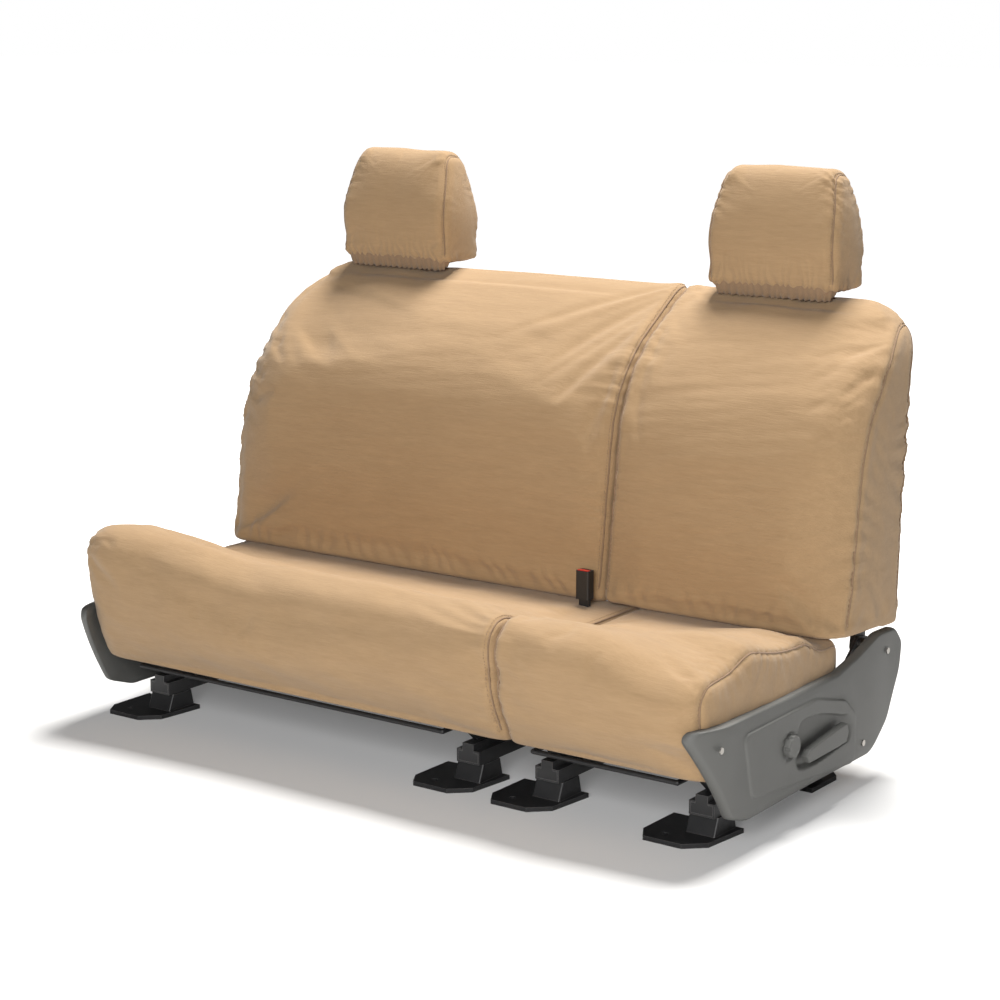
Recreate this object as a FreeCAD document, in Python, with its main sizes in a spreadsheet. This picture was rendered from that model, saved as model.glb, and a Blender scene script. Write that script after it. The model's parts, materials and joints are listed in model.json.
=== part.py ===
import FreeCAD, Part
import math
import os

import Sketcher

V = FreeCAD.Vector
doc = FreeCAD.newDocument("CoveredBench")

# ---------------------------------------------------------------- driving dimensions (mm)
# X runs across the seat, -Y is where the knees are, Z is up from the floor.
SIZES = [
    ("back_split", 218.0), ("cushion_split", 276.0), ("split_gap", 3.0),
    ("seat_side", 670.0), ("back_side", 690.0), ("cover_wall", 4.0),
    ("hem_width", 16.0),
    ("cushion_front_low_y", -322.0), ("cushion_front_y", -378.0), ("cushion_low_z", 122.0),
    ("cushion_top_z", 277.0), ("cushion_rear_y", 100.0), ("rise_sine", 0.3074), ("rise_cosine", 0.9516),
    ("rise_start_y", -60.0), ("rise_end_y", -170.0), ("rise_end_z", 294.3), ("rise_radius", 358.0),
    ("nose_start_y", -290.0), ("nose_start_z", 333.1), ("nose_end_z", 270.0), ("nose_radius", 67.3), ("rear_radius", 14.0),
    ("back_low_z", 284.0), ("back_low_y", 40.0), ("back_knee_y", 61.0), ("back_knee_z", 460.0),
    ("back_lean_radius", 515.0), ("back_brow_y", 288.0), ("back_brow_z", 816.0),
    ("back_top_y", 316.0), ("back_top_z", 828.0), ("back_rear_y", 346.0), ("back_rear_z", 796.0),
    ("back_heel_y", 312.0), ("back_heel_z", 280.0),
    ("pan_inset", 30.0), ("pan_front_y", -284.0), ("pan_rear_y", 92.0),
    ("pan_low_z", 118.0), ("pan_top_z", 150.0), ("pan_wall", 3.0), ("wire_radius", 2.2),
    ("rail_60_outer", -600.0), ("rail_60_inner", 130.0),
    ("rail_40_inner", 296.0), ("rail_40_outer", 600.0),
    ("rail_front_y", -235.0), ("rail_length", 355.0), ("rail_low_z", 38.0), ("rail_half", 24.0),
    ("rail_height", 24.0), ("rail_wall", 3.0), ("rail_lip", 12.0), ("slide_gap", 0.3),
    ("rail_neck_top_z", 74.0), ("riser_half", 5.0),
    ("foot_half", 42.0), ("foot_shift", 50.0), ("foot_plate", 8.0), ("foot_front_hole_y", -265.0),
    ("foot_rear_hole_y", 150.0), ("foot_hole_radius", 5.5),
    ("pivot_y", 235.0), ("pivot_z", 228.0), ("pin_radius", 7.0), ("pin_gap", 0.05),
    ("bracket_wall", 5.0), ("arm_wall", 10.0), ("arm_gap", 0.5),
    ("bracket_60_outer", -640.0), ("bracket_60_inner", 185.0),
    ("bracket_40_inner", 308.0), ("bracket_40_outer", 635.0),
    ("frame_tube", 14.0), ("frame_top_y", 290.0), ("frame_top_z", 745.0),
    ("headrest_x", 420.0), ("headrest_half", 126.0), ("headrest_low_z", 832.5),
    ("headrest_top_z", 1045.0), ("post_half_spacing", 65.0), ("post_y", 318.0),
    ("post_radius", 6.0), ("post_low_z", 640.0), ("post_high_z", 930.0), ("guide_radius", 10.0),
    ("shield_in", 672.0), ("shield_out", 690.0), ("shield_wall", 3.0),
    ("lever_out", 703.0), ("lever_pivot_y", 55.0), ("lever_pivot_z", 122.0),
    ("knob_y", -114.0), ("knob_z", 143.0), ("knob_radius", 19.0), ("shaft_radius", 6.0),
    ("bar_radius", 4.5), ("bar_y", -292.0), ("bar_pivot_y", -190.0), ("bar_z", 108.0),
    ("bar_barrel", 5.5),
    ("buckle_x", 200.0), ("buckle_y", 20.0), ("buckle_low_z", 290.0), ("buckle_high_z", 342.0),
    ("buckle_half", 14.0), ("button_travel", 4.0),
]
sheet = doc.addObject("Spreadsheet::Sheet", "Sizes")
size = {}
for row, (alias, value) in enumerate(SIZES, start=1):
    sheet.set("A%d" % row, alias)
    sheet.set("B%d" % row, "%s" % value)
    sheet.setAlias("B%d" % row, alias)
    size[alias] = value
doc.recompute()


# ---------------------------------------------------------------- helpers
def amount(words):
    """Value of a sum of signed, optionally multiplied aliases and numbers."""
    total = 0.0
    for term in words.replace("-", "+-").split("+"):
        term = term.strip()
        if not term:
            continue
        product = 1.0
        for factor in term.split("*"):
            factor = factor.strip()
            sign = -1.0 if factor.startswith("-") else 1.0
            factor = factor.lstrip("-").strip()
            product *= sign * (size[factor] if factor in size else float(factor))
        total += product
    return total


def bound(words):
    """The same expression with the sheet's name before each alias."""
    pieces = []
    for piece in words.replace("-", " - ").replace("+", " + ").replace("*", " * ").split():
        pieces.append("Sizes." + piece if piece in size else piece)
    return " ".join(pieces)


def negated(words):
    """The expression with every sign turned."""
    turned = words.strip().replace("+", "#").replace("-", "+").replace("#", "-")
    return turned.lstrip("+ ") if turned.startswith("+") else "-" + turned


def bind(thing, path, words):
    thing.setExpression(path, bound(words))


def new_body(label):
    body = doc.addObject("PartDesign::Body", label)
    body.Label = label
    return body


def outline_sketch(body, plane, points, start):
    """Closed outline on an origin plane, moved along its normal by start.

    A point is (across, up) or (across, up, radius, side); the last two bend the edge that leaves
    the point into an arc of that radius, bulging to the left (1) or right (-1) of its direction.
    """
    sketch = body.newObject("Sketcher::SketchObject", "outline")
    origin = [f for f in body.Origin.OriginFeatures if f.Role == plane]
    sketch.AttachmentSupport = [(origin[0], "")]
    sketch.MapMode = "FlatFace"
    bind(sketch, "AttachmentOffset.Base.z", start)
    places = [V(amount(p[0]), amount(p[1]), 0) for p in points]
    count = len(points)
    for i, point in enumerate(points):
        here, there = places[i], places[(i + 1) % count]
        if len(point) == 2:
            sketch.addGeometry(Part.LineSegment(here, there))
            continue
        chord = there - here
        radius = amount(point[2])
        sagitta = radius - math.sqrt(radius ** 2 - chord.Length ** 2 / 4)
        left = V(-chord.y, chord.x, 0).normalize()
        middle = (here + there) * 0.5 + left * (sagitta * point[3])
        turned = point[3] > 0
        sketch.addGeometry(Part.Arc(there, middle, here) if turned else Part.Arc(here, middle, there))
    start_pos = [2 if len(point) == 4 and point[3] > 0 else 1 for point in points]
    for i, point in enumerate(points):
        after = (i + 1) % count
        sketch.addConstraint(Sketcher.Constraint("Coincident", i, 3 - start_pos[i], after, start_pos[after]))
        for kind, words, value in (("DistanceX", point[0], places[i].x), ("DistanceY", point[1], places[i].y)):
            index = sketch.addConstraint(Sketcher.Constraint(kind, -1, 1, i, start_pos[i], value))
            bind(sketch, "Constraints[%d]" % index, words)
        if len(point) == 4:
            index = sketch.addConstraint(Sketcher.Constraint("Radius", i, amount(point[2])))
            bind(sketch, "Constraints[%d]" % index, point[2])
    return sketch


def ring_sketch(body, plane, across, up, radius, start):
    """A circle on an origin plane, moved along its normal by start."""
    sketch = body.newObject("Sketcher::SketchObject", "ring")
    origin = [f for f in body.Origin.OriginFeatures if f.Role == plane]
    sketch.AttachmentSupport = [(origin[0], "")]
    sketch.MapMode = "FlatFace"
    bind(sketch, "AttachmentOffset.Base.z", start)
    sketch.addGeometry(Part.Circle(V(amount(across), amount(up), 0), V(0, 0, 1), amount(radius)))
    for kind, words in (("DistanceX", across), ("DistanceY", up)):
        index = sketch.addConstraint(Sketcher.Constraint(kind, -1, 1, 0, 3, amount(words)))
        bind(sketch, "Constraints[%d]" % index, words)
    index = sketch.addConstraint(Sketcher.Constraint("Radius", 0, amount(radius)))
    bind(sketch, "Constraints[%d]" % index, radius)
    return sketch


def pad(body, sketch, length):
    feature = body.newObject("PartDesign::Pad", "pad")
    feature.Profile = sketch
    bind(feature, "Length", length)
    doc.recompute()
    return feature


def pocket(body, sketch, length):
    """Cut along the sketch's normal and make sure that something was cut."""
    before = body.Shape.Volume
    feature = body.newObject("PartDesign::Pocket", "pocket")
    feature.Profile = sketch
    feature.Reversed = True
    bind(feature, "Length", length)
    doc.recompute()
    if body.Shape.Volume > before - 1e-3:
        raise RuntimeError("a pocket cuts nothing in " + body.Label)
    return feature


def slab(label, plane, points, start, length):
    """One body: an outline padded from start over length along the plane's normal."""
    body = new_body(label)
    pad(body, outline_sketch(body, plane, points, start), length)
    return body


def round_where(body, radius, wanted):
    """Fillet the edges of the body's last feature whose middle passes the wanted test."""
    base = body.Tip
    names = []
    for number, edge in enumerate(base.Shape.Edges, start=1):
        middle = edge.valueAt((edge.FirstParameter + edge.LastParameter) / 2)
        if wanted(middle, edge):
            names.append("Edge%d" % number)
    feature = body.newObject("PartDesign::Fillet", "rounding")
    feature.Base = (base, names)
    bind(feature, "Radius", radius)
    doc.recompute()
    if "Invalid" in feature.State:
        raise RuntimeError("no rounding of %s on %s" % (body.Label, names))
    return feature


def rod(label, ends, radius):
    """A round bar between two points."""
    bar = doc.addObject("Part::Cylinder", label)
    bar.Label = label
    start, end = V(*ends[0]), V(*ends[1])
    bind(bar, "Radius", radius)
    bar.Height = (end - start).Length
    bar.Placement = FreeCAD.Placement(start, FreeCAD.Rotation(V(0, 0, 1), end - start))
    return bar


def ball(label, centre, radius):
    joint = doc.addObject("Part::Sphere", label)
    bind(joint, "Radius", radius)
    joint.Placement = FreeCAD.Placement(V(*centre), FreeCAD.Rotation())
    return joint


def cut(label, base, tools):
    """base without tools."""
    tool = tools[0]
    if len(tools) > 1:
        tool = doc.addObject("Part::MultiFuse", label + "_tool")
        tool.Shapes = tools
    result = doc.addObject("Part::Cut", label)
    result.Label = label
    result.Base = base
    result.Tool = tool
    return result


def fuse(label, shapes):
    result = doc.addObject("Part::MultiFuse", label)
    result.Label = label
    result.Shapes = shapes
    return result


def group(label, shapes):
    """Several equal loose solids in one node."""
    result = doc.addObject("Part::Compound", label)
    result.Label = label
    result.Links = shapes
    return result


def box(label, low, high):
    """A box between two corners given in the sheet's words."""
    block = doc.addObject("Part::Box", label)
    for name, corner, low_words, high_words in zip(("Length", "Width", "Height"), "xyz", low, high):
        bind(block, name, high_words + " + " + negated(low_words))
        block.setExpression("Placement.Base." + corner, bound(low_words))
    return block


nodes = []


def keep(piece):
    nodes.append(piece)
    return piece


# ---------------------------------------------------------------- the two sections
# left and right ends across the seat of each cushion and backrest, and the places of their rails
SECTIONS = {
    "60": {
        "cushion": ("-seat_side", "cushion_split - 0.5*split_gap"),
        "back": ("-back_side", "back_split - 0.5*split_gap"),
        "rails": {"outer": "rail_60_outer", "inner": "rail_60_inner"},
        "brackets": (("bracket_60_outer", 1), ("bracket_60_inner", -1)),
        "side": -1, "headrest": "-headrest_x", "wires": 5,
    },
    "40": {
        "cushion": ("cushion_split + 0.5*split_gap", "seat_side"),
        "back": ("back_split + 0.5*split_gap", "back_side"),
        "rails": {"inner": "rail_40_inner", "outer": "rail_40_outer"},
        "brackets": (("bracket_40_inner", 1), ("bracket_40_outer", -1)),
        "side": 1, "headrest": "headrest_x", "wires": 3,
    },
}


def cushion_outline(inset):
    """Side view of a cushion: level seat, rise over the knees, round nose, front that bellies out.

    The rise climbs by rise_sine to rise_cosine, so its points move in along that slope's normal.
    """
    down, back = "%.4f*%s" % (size["rise_cosine"], inset), "%.4f*%s" % (size["rise_sine"], inset)
    return [
        ("cushion_front_low_y + %s" % inset, "cushion_low_z"),
        ("cushion_rear_y - %s" % inset, "cushion_low_z"),
        ("cushion_rear_y - %s" % inset, "cushion_top_z - rear_radius", "rear_radius - %s" % inset, -1),
        ("cushion_rear_y - rear_radius", "cushion_top_z - %s" % inset),
        ("rise_start_y", "cushion_top_z - %s" % inset, "rise_radius + %s" % inset, 1),
        ("rise_end_y - %s" % back, "rise_end_z - %s" % down),
        ("nose_start_y - %s" % back, "nose_start_z - %s" % down, "nose_radius - %s" % inset, -1),
        ("cushion_front_y + %s" % inset, "nose_end_z", "300 - %s" % inset, -1),
    ]


def back_outline(inset):
    """Side view of a backrest: upright to the small of the back, then one arc leaning away."""
    return [
        ("back_low_y + %s" % inset, "back_low_z"),
        ("back_knee_y + %s" % inset, "back_knee_z", "back_lean_radius", 1),
        ("back_brow_y + %s" % inset, "back_brow_z - %s" % inset, "90 - %s" % inset, 1),
        ("back_top_y", "back_top_z - %s" % inset, "32 - 0.5*%s" % inset, 1),
        ("back_rear_y - %s" % inset, "back_rear_z"),
        ("back_heel_y - %s" % inset, "back_heel_z"),
    ]


def soft_body(label, outline, ends, inset):
    """A plain padded form: its side view carried across its width."""
    low, high = ends
    return slab(label, "YZ_Plane", outline, "%s + %s" % (low, inset),
                "%s + %s - 2*%s" % (high, negated(low), inset))


# ---------------------------------------------------------------- rails, risers and feet
def make_lower_rail(label, rail):
    """Open channel with two lips turned in over the sliding rail."""
    points = [
        ("-rail_half", "rail_low_z"), ("rail_half", "rail_low_z"),
        ("rail_half", "rail_low_z + rail_height"), ("rail_lip", "rail_low_z + rail_height"),
        ("rail_lip", "rail_low_z + rail_height - rail_wall"),
        ("rail_half - rail_wall", "rail_low_z + rail_height - rail_wall"),
        ("rail_half - rail_wall", "rail_low_z + rail_wall"),
        ("-rail_half + rail_wall", "rail_low_z + rail_wall"),
        ("-rail_half + rail_wall", "rail_low_z + rail_height - rail_wall"),
        ("-rail_lip", "rail_low_z + rail_height - rail_wall"),
        ("-rail_lip", "rail_low_z + rail_height"), ("-rail_half", "rail_low_z + rail_height"),
    ]
    body = slab(label, "XZ_Plane", points, "-rail_front_y - rail_length", "rail_length")
    bind(body, "Placement.Base.x", rail)
    return keep(body)


def make_upper_rail(label, rail):
    """Flanged bar that slides in the channel, its neck standing up between the lips."""
    points = [
        ("-rail_half + rail_wall + slide_gap", "rail_low_z + rail_wall + slide_gap"),
        ("rail_half - rail_wall - slide_gap", "rail_low_z + rail_wall + slide_gap"),
        ("rail_half - rail_wall - slide_gap", "rail_low_z + rail_height - rail_wall - slide_gap"),
        ("rail_lip - slide_gap", "rail_low_z + rail_height - rail_wall - slide_gap"),
        ("rail_lip - slide_gap", "rail_neck_top_z"),
        ("-rail_lip + slide_gap", "rail_neck_top_z"),
        ("-rail_lip + slide_gap", "rail_low_z + rail_height - rail_wall - slide_gap"),
        ("-rail_half + rail_wall + slide_gap", "rail_low_z + rail_height - rail_wall - slide_gap"),
    ]
    body = slab(label, "XZ_Plane", points, "-rail_front_y - rail_length", "rail_length")
    bind(body, "Placement.Base.x", rail)
    return keep(body)


def make_riser(label, rail):
    """Upright plate between the sliding rail and the pan, with a window through it."""
    points = [
        ("rail_front_y + 25", "rail_neck_top_z"), ("rail_front_y + rail_length - 40", "rail_neck_top_z"),
        ("pan_rear_y - 8", "pan_low_z"), ("pan_front_y + 24", "pan_low_z"),
    ]
    body = slab(label, "YZ_Plane", points, "-riser_half", "2*riser_half")
    window = [
        ("rail_front_y + 62", "rail_neck_top_z + 11"), ("rail_front_y + rail_length - 95", "rail_neck_top_z + 11"),
        ("rail_front_y + rail_length - 95", "pan_low_z - 11"), ("rail_front_y + 62", "pan_low_z - 11"),
    ]
    pocket(body, outline_sketch(body, "YZ_Plane", window, "-riser_half - 1"), "2*riser_half + 2")
    bind(body, "Placement.Base.x", rail)
    return keep(body)


def make_front_foot(label, rail):
    """Floor plate with a rounded toe and a bolt hole, and a block that carries the rail's end.

    The plate reaches to the left of its rail by foot_shift, and its hole is that far to the left.
    """
    points = [
        ("-foot_half - foot_shift", "foot_front_hole_y + 95"), ("-foot_half - foot_shift", "foot_front_hole_y"),
        ("-foot_half + 18 - foot_shift", "foot_front_hole_y - 30"),
        ("foot_half - 18 - 0.5*foot_shift", "foot_front_hole_y - 30"),
        ("foot_half - 0.2*foot_shift", "foot_front_hole_y"), ("foot_half", "foot_front_hole_y + 95"),
    ]
    body = slab(label, "XY_Plane", points, "0", "foot_plate")
    block = [
        ("foot_front_hole_y + 26", "foot_plate"), ("foot_front_hole_y + 95", "foot_plate"),
        ("foot_front_hole_y + 88", "rail_low_z"), ("foot_front_hole_y + 38", "rail_low_z"),
    ]
    pad(body, outline_sketch(body, "YZ_Plane", block, "-rail_half - 4"), "2*rail_half + 8")
    pocket(body, ring_sketch(body, "XY_Plane", "-foot_shift", "foot_front_hole_y", "foot_hole_radius", "-1"),
           "foot_plate + 2")
    round_where(body, "3", lambda middle, edge: middle.z > 8.5 and middle.z < 37.0
                and abs(middle.x) > amount("rail_half"))
    bind(body, "Placement.Base.x", rail)
    return keep(body)


def make_rear_foot(label, rail):
    """Floor plate behind the rail with its bolt hole to the left, and a block under the rail's end."""
    points = [
        ("-foot_half + 6 - foot_shift", "foot_rear_hole_y - 78"), ("foot_half - 6", "foot_rear_hole_y - 78"),
        ("foot_half - 6", "foot_rear_hole_y + 10"), ("foot_half - 20", "foot_rear_hole_y + 26"),
        ("-foot_half + 20 - foot_shift", "foot_rear_hole_y + 26"),
        ("-foot_half + 6 - foot_shift", "foot_rear_hole_y + 10"),
    ]
    body = slab(label, "XY_Plane", points, "0", "foot_plate")
    block = [
        ("foot_rear_hole_y - 78", "foot_plate"), ("foot_rear_hole_y - 22", "foot_plate"),
        ("foot_rear_hole_y - 34", "rail_low_z"), ("foot_rear_hole_y - 72", "rail_low_z"),
    ]
    pad(body, outline_sketch(body, "YZ_Plane", block, "-rail_half"), "2*rail_half")
    pocket(body, ring_sketch(body, "XY_Plane", "-foot_shift", "foot_rear_hole_y", "foot_hole_radius", "-1"),
           "foot_plate + 2")
    bind(body, "Placement.Base.x", rail)
    return keep(body)


# ---------------------------------------------------------------- one seat section
def make_pan(name, section):
    """Pressed steel tray that the foam rests on."""
    low, high = section["cushion"]
    inner, outer = "%s + pan_inset" % low, "%s - pan_inset" % high
    points = [
        (inner, "pan_front_y"), (outer, "pan_front_y"), (outer, "pan_rear_y"), (inner, "pan_rear_y"),
    ]
    body = slab("cushion_pan_" + name, "XY_Plane", points, "pan_low_z", "pan_top_z - pan_low_z")
    well = [
        (inner + " + pan_wall", "pan_front_y + pan_wall"), (outer + " - pan_wall", "pan_front_y + pan_wall"),
        (outer + " - pan_wall", "pan_rear_y - pan_wall"), (inner + " + pan_wall", "pan_rear_y - pan_wall"),
    ]
    pocket(body, outline_sketch(body, "XY_Plane", well, "pan_low_z + pan_wall"), "pan_top_z - pan_low_z")
    return keep(body)


def make_wires(name, section):
    """Support wires stretched across the pan from front to rear, under the foam."""
    left = amount(section["cushion"][0] + " + pan_inset + 60")
    right = amount(section["cushion"][1] + " - pan_inset - 60")
    count = section["wires"]
    wires = []
    for i in range(count):
        x = left + (right - left) * i / (count - 1)
        z = size["pan_top_z"] - 3.5
        ends = ((x, amount("pan_front_y + pan_wall"), z), (x, amount("pan_rear_y - pan_wall"), z))
        wires.append(rod("wire_%s_%d" % (name, i + 1), ends, "wire_radius"))
    return keep(group("support_wires_" + name, wires))


def make_cushion(name, section):
    """Foam over the pan, and its fabric cover as a thin shell with a hem turned in below."""
    ends = section["cushion"]
    core = soft_body("cushion_core_" + name, cushion_outline("cover_wall"), ends, "cover_wall")
    shell = soft_body("cushion_shell_" + name, cushion_outline("0"), ends, "0")
    low, high = ends
    well = box("pan_space_" + name,
               (low + " + pan_inset - slide_gap", "pan_front_y - slide_gap", "cushion_low_z - 9"),
               (high + " - pan_inset + slide_gap", "pan_rear_y + slide_gap + 40", "pan_top_z + slide_gap"))
    opening = box("hem_opening_" + name,
                  (low + " + hem_width", "cushion_front_low_y + hem_width", "cushion_low_z - 9"),
                  (high + " - hem_width", "cushion_rear_y - hem_width + 40", "cushion_low_z + 3"))
    lip = box("hem_lift_" + name, (low, "cushion_front_y", "cushion_low_z - 1"),
              (high, "cushion_rear_y + 1", "cushion_low_z + 3"))
    foam_cuts = [well, lip]
    cover_cuts = [core, opening, well]
    if name == "60":
        slit = box("buckle_slit", ("buckle_x - 12", "buckle_y - 9", "pan_top_z - 1"),
                   ("buckle_x + 12", "buckle_y + 9", "cushion_top_z + 9"))
        foam_cuts.append(slit)
        cover_cuts.append(slit)
    keep(cut("cushion_foam_" + name, core, foam_cuts))
    hem_core = cut("hem_core_" + name, core, [lip])
    cover_cuts[0] = hem_core
    keep(cut("cushion_cover_" + name, shell, cover_cuts))


def make_back(name, section, frame):
    """Foam cut round its frame and the headrest guides, and a fabric cover open at the bottom."""
    ends = section["back"]
    core = soft_body("back_core_" + name, back_outline("cover_wall"), ends, "cover_wall")
    shell = soft_body("back_shell_" + name, back_outline("0"), ends, "0")
    centre = amount(section["headrest"])
    bores = []
    for side in (-1, 1):
        x = centre + side * size["post_half_spacing"]
        ends_of_bore = ((x, size["post_y"], size["post_low_z"] - 12), (x, size["post_y"], 900))
        bores.append(rod("guide_bore_%s_%d" % (name, side), ends_of_bore, "guide_radius"))
    keep(cut("back_foam_" + name, core, [frame] + bores))
    low, high = ends
    opening = box("back_opening_" + name,
                  (low + " + hem_width", "back_low_y + hem_width", "back_low_z - 9"),
                  (high + " - hem_width", "back_heel_y - hem_width", "back_low_z + 3"))
    keep(cut("back_cover_" + name, shell, [core, opening] + bores))


def leg_point(height):
    """Point on the leg's line, which runs from the pivot to the top tube, at a given height."""
    part = (height - size["pivot_z"]) / (size["frame_top_z"] - size["pivot_z"])
    return size["pivot_y"] + part * (size["frame_top_y"] - size["pivot_y"])


def make_arm(label, start, length):
    """Flat arm with an eye at the recliner pivot, along the leg."""
    lean = math.atan2(size["frame_top_y"] - size["pivot_y"], size["frame_top_z"] - size["pivot_z"])
    points = [("-20", "-4"), ("-11", "-20"), ("11", "-20"), ("20", "-4"), ("13", "128"), ("-13", "128")]
    body = slab(label, "YZ_Plane", points, start, length)
    pocket(body, ring_sketch(body, "YZ_Plane", "0", "0", "pin_radius + pin_gap", start + " - 1"), length + " + 2")
    body.Placement = FreeCAD.Placement(V(0, size["pivot_y"], size["pivot_z"]),
                                       FreeCAD.Rotation(V(1, 0, 0), -math.degrees(lean)))
    bind(body, "Placement.Base.y", "pivot_y")
    bind(body, "Placement.Base.z", "pivot_z")
    return body


def post_place(section, side):
    """Place across the seat of one headrest post."""
    return "%s %s post_half_spacing" % (section["headrest"], "+" if side > 0 else "-")


def make_back_frame(name, section):
    """Bent tube round the top of the backrest on two flat arms, with seats for the guides."""
    pieces, tops = [], []
    for number, (bracket, inward) in enumerate(section["brackets"], start=1):
        if inward > 0:
            start = bracket + " + bracket_wall + arm_gap"
            leg_x = amount(bracket + " + bracket_wall + arm_gap") + 16.5
        else:
            start = bracket + " - arm_gap - arm_wall"
            leg_x = amount(bracket + " - arm_gap") - 16.5
        pieces.append(make_arm("recline_arm_%s_%d" % (name, number), start, "arm_wall"))
        foot_z, top_z = size["pivot_z"] + 34, size["frame_top_z"]
        pieces.append(rod("leg_%s_%d" % (name, number),
                          ((leg_x, leg_point(foot_z), foot_z), (leg_x, leg_point(top_z), top_z)), "frame_tube"))
        tops.append((leg_x, leg_point(top_z), top_z))
        pieces.append(ball("bend_%s_%d" % (name, number), tops[-1], "frame_tube"))
    pieces.append(rod("top_tube_" + name, tops, "frame_tube"))
    centre = amount(section["headrest"])
    guide_seats = []
    for side in (-1, 1):
        x = centre + side * size["post_half_spacing"]
        across = post_place(section, side)
        guide_seats.append(box("guide_seat_%s_%d" % (name, side),
                               (across + " - 15", "frame_top_y", "frame_top_z - 12"),
                               (across + " + 15", "post_y + 15", "frame_top_z + 12")))
        guide_seats.append(rod("guide_seat_bore_%s_%d" % (name, side),
                               ((x, size["post_y"], 700), (x, size["post_y"], 800)), "guide_radius"))
    solid = fuse("frame_blank_" + name, pieces + guide_seats[0::2])
    return keep(cut("back_frame_" + name, solid, guide_seats[1::2]))


def make_guides(name, section):
    """Two plastic sleeves with collars that the headrest posts slide in."""
    sleeves = []
    for side in (-1, 1):
        x = post_place(section, side)
        body = new_body("guide_%s_%d" % (name, side))
        pad(body, ring_sketch(body, "XY_Plane", x, "post_y", "guide_radius", "frame_top_z - 20"),
            "back_top_z - frame_top_z + 20.2")
        pad(body, ring_sketch(body, "XY_Plane", x, "post_y", "guide_radius + 5", "back_top_z + 0.2"), "3.5")
        pocket(body, ring_sketch(body, "XY_Plane", x, "post_y", "post_radius + pin_gap", "frame_top_z - 30"),
               "back_top_z - frame_top_z + 60")
        sleeves.append(body)
    return keep(group("headrest_guides_" + name, sleeves))


def make_headrest(name, section):
    """Bent post, foam moulded on it, and its fabric cover with a hem turned in below."""
    centre = amount(section["headrest"])
    half, y, top = size["post_half_spacing"], size["post_y"], size["post_high_z"]
    pieces = []
    for side in (-1, 1):
        x = centre + side * half
        pieces.append(rod("post_%s_%d" % (name, side), ((x, y, size["post_low_z"]), (x, y, top)), "post_radius"))
        pieces.append(ball("post_bend_%s_%d" % (name, side), (x, y, top), "post_radius"))
    pieces.append(rod("post_bar_" + name, ((centre - half, y, top), (centre + half, y, top)), "post_radius"))
    posts = keep(fuse("headrest_posts_" + name, pieces))
    ends = ("%s - headrest_half" % section["headrest"], "%s + headrest_half" % section["headrest"])

    def side_view(inset):
        return [
            ("272 + %s" % inset, "headrest_low_z"),
            ("257 + %s" % inset, "920", "120", 1),
            ("296", "headrest_top_z - %s" % inset, "90", 1),
            ("346", "headrest_top_z - 6 - %s" % inset, "150", 1),
            ("385 - %s" % inset, "900"),
            ("377 - %s" % inset, "headrest_low_z"),
        ]

    core = soft_body("headrest_core_" + name, side_view("cover_wall"), ends, "cover_wall")
    shell = soft_body("headrest_shell_" + name, side_view("0"), ends, "0")
    lift = box("headrest_lift_" + name, (ends[0], "240", "headrest_low_z - 1"),
               (ends[1], "400", "headrest_low_z + 3"))
    keep(cut("headrest_foam_" + name, core, [posts, lift]))
    hem_core = cut("headrest_hem_core_" + name, core, [lift])
    opening = box("headrest_opening_" + name,
                  (ends[0] + " + 20", "290", "headrest_low_z - 1"), (ends[1] + " - 20", "360", "headrest_low_z + 4"))
    keep(cut("headrest_cover_" + name, shell, [hem_core, opening]))


def make_brackets(name, section):
    """Two upright plates behind the pan that carry the recliner pivots, and their pins."""
    plates, pins = [], []
    for number, (bracket, inward) in enumerate(section["brackets"], start=1):
        points = [
            ("pan_rear_y", "pan_low_z"), ("pivot_y - 60", "pan_low_z"), ("pivot_y + 18", "pivot_z - 24"),
            ("pivot_y + 18", "pivot_z + 12"), ("pivot_y - 14", "pivot_z + 18"), ("pan_rear_y", "pan_top_z - 8"),
        ]
        plate = slab("recliner_plate_%s_%d" % (name, number), "YZ_Plane", points, bracket, "bracket_wall")
        pocket(plate, ring_sketch(plate, "YZ_Plane", "pivot_y", "pivot_z", "pin_radius", bracket + " - 1"),
               "bracket_wall + 2")
        plates.append(plate)
        pin = new_body("pin_%s_%d" % (name, number))
        if inward > 0:
            shaft, head = bracket, bracket + " - 5"
        else:
            shaft, head = bracket + " - arm_gap - arm_wall - 4", bracket + " + bracket_wall"
        pad(pin, ring_sketch(pin, "YZ_Plane", "pivot_y", "pivot_z", "pin_radius", shaft),
            "bracket_wall + arm_gap + arm_wall + 4")
        pad(pin, ring_sketch(pin, "YZ_Plane", "pivot_y", "pivot_z", "pin_radius + 5", head), "5")
        pins.append(pin)
    keep(group("recliner_brackets_" + name, plates))
    keep(group("recliner_pins_" + name, pins))


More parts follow.
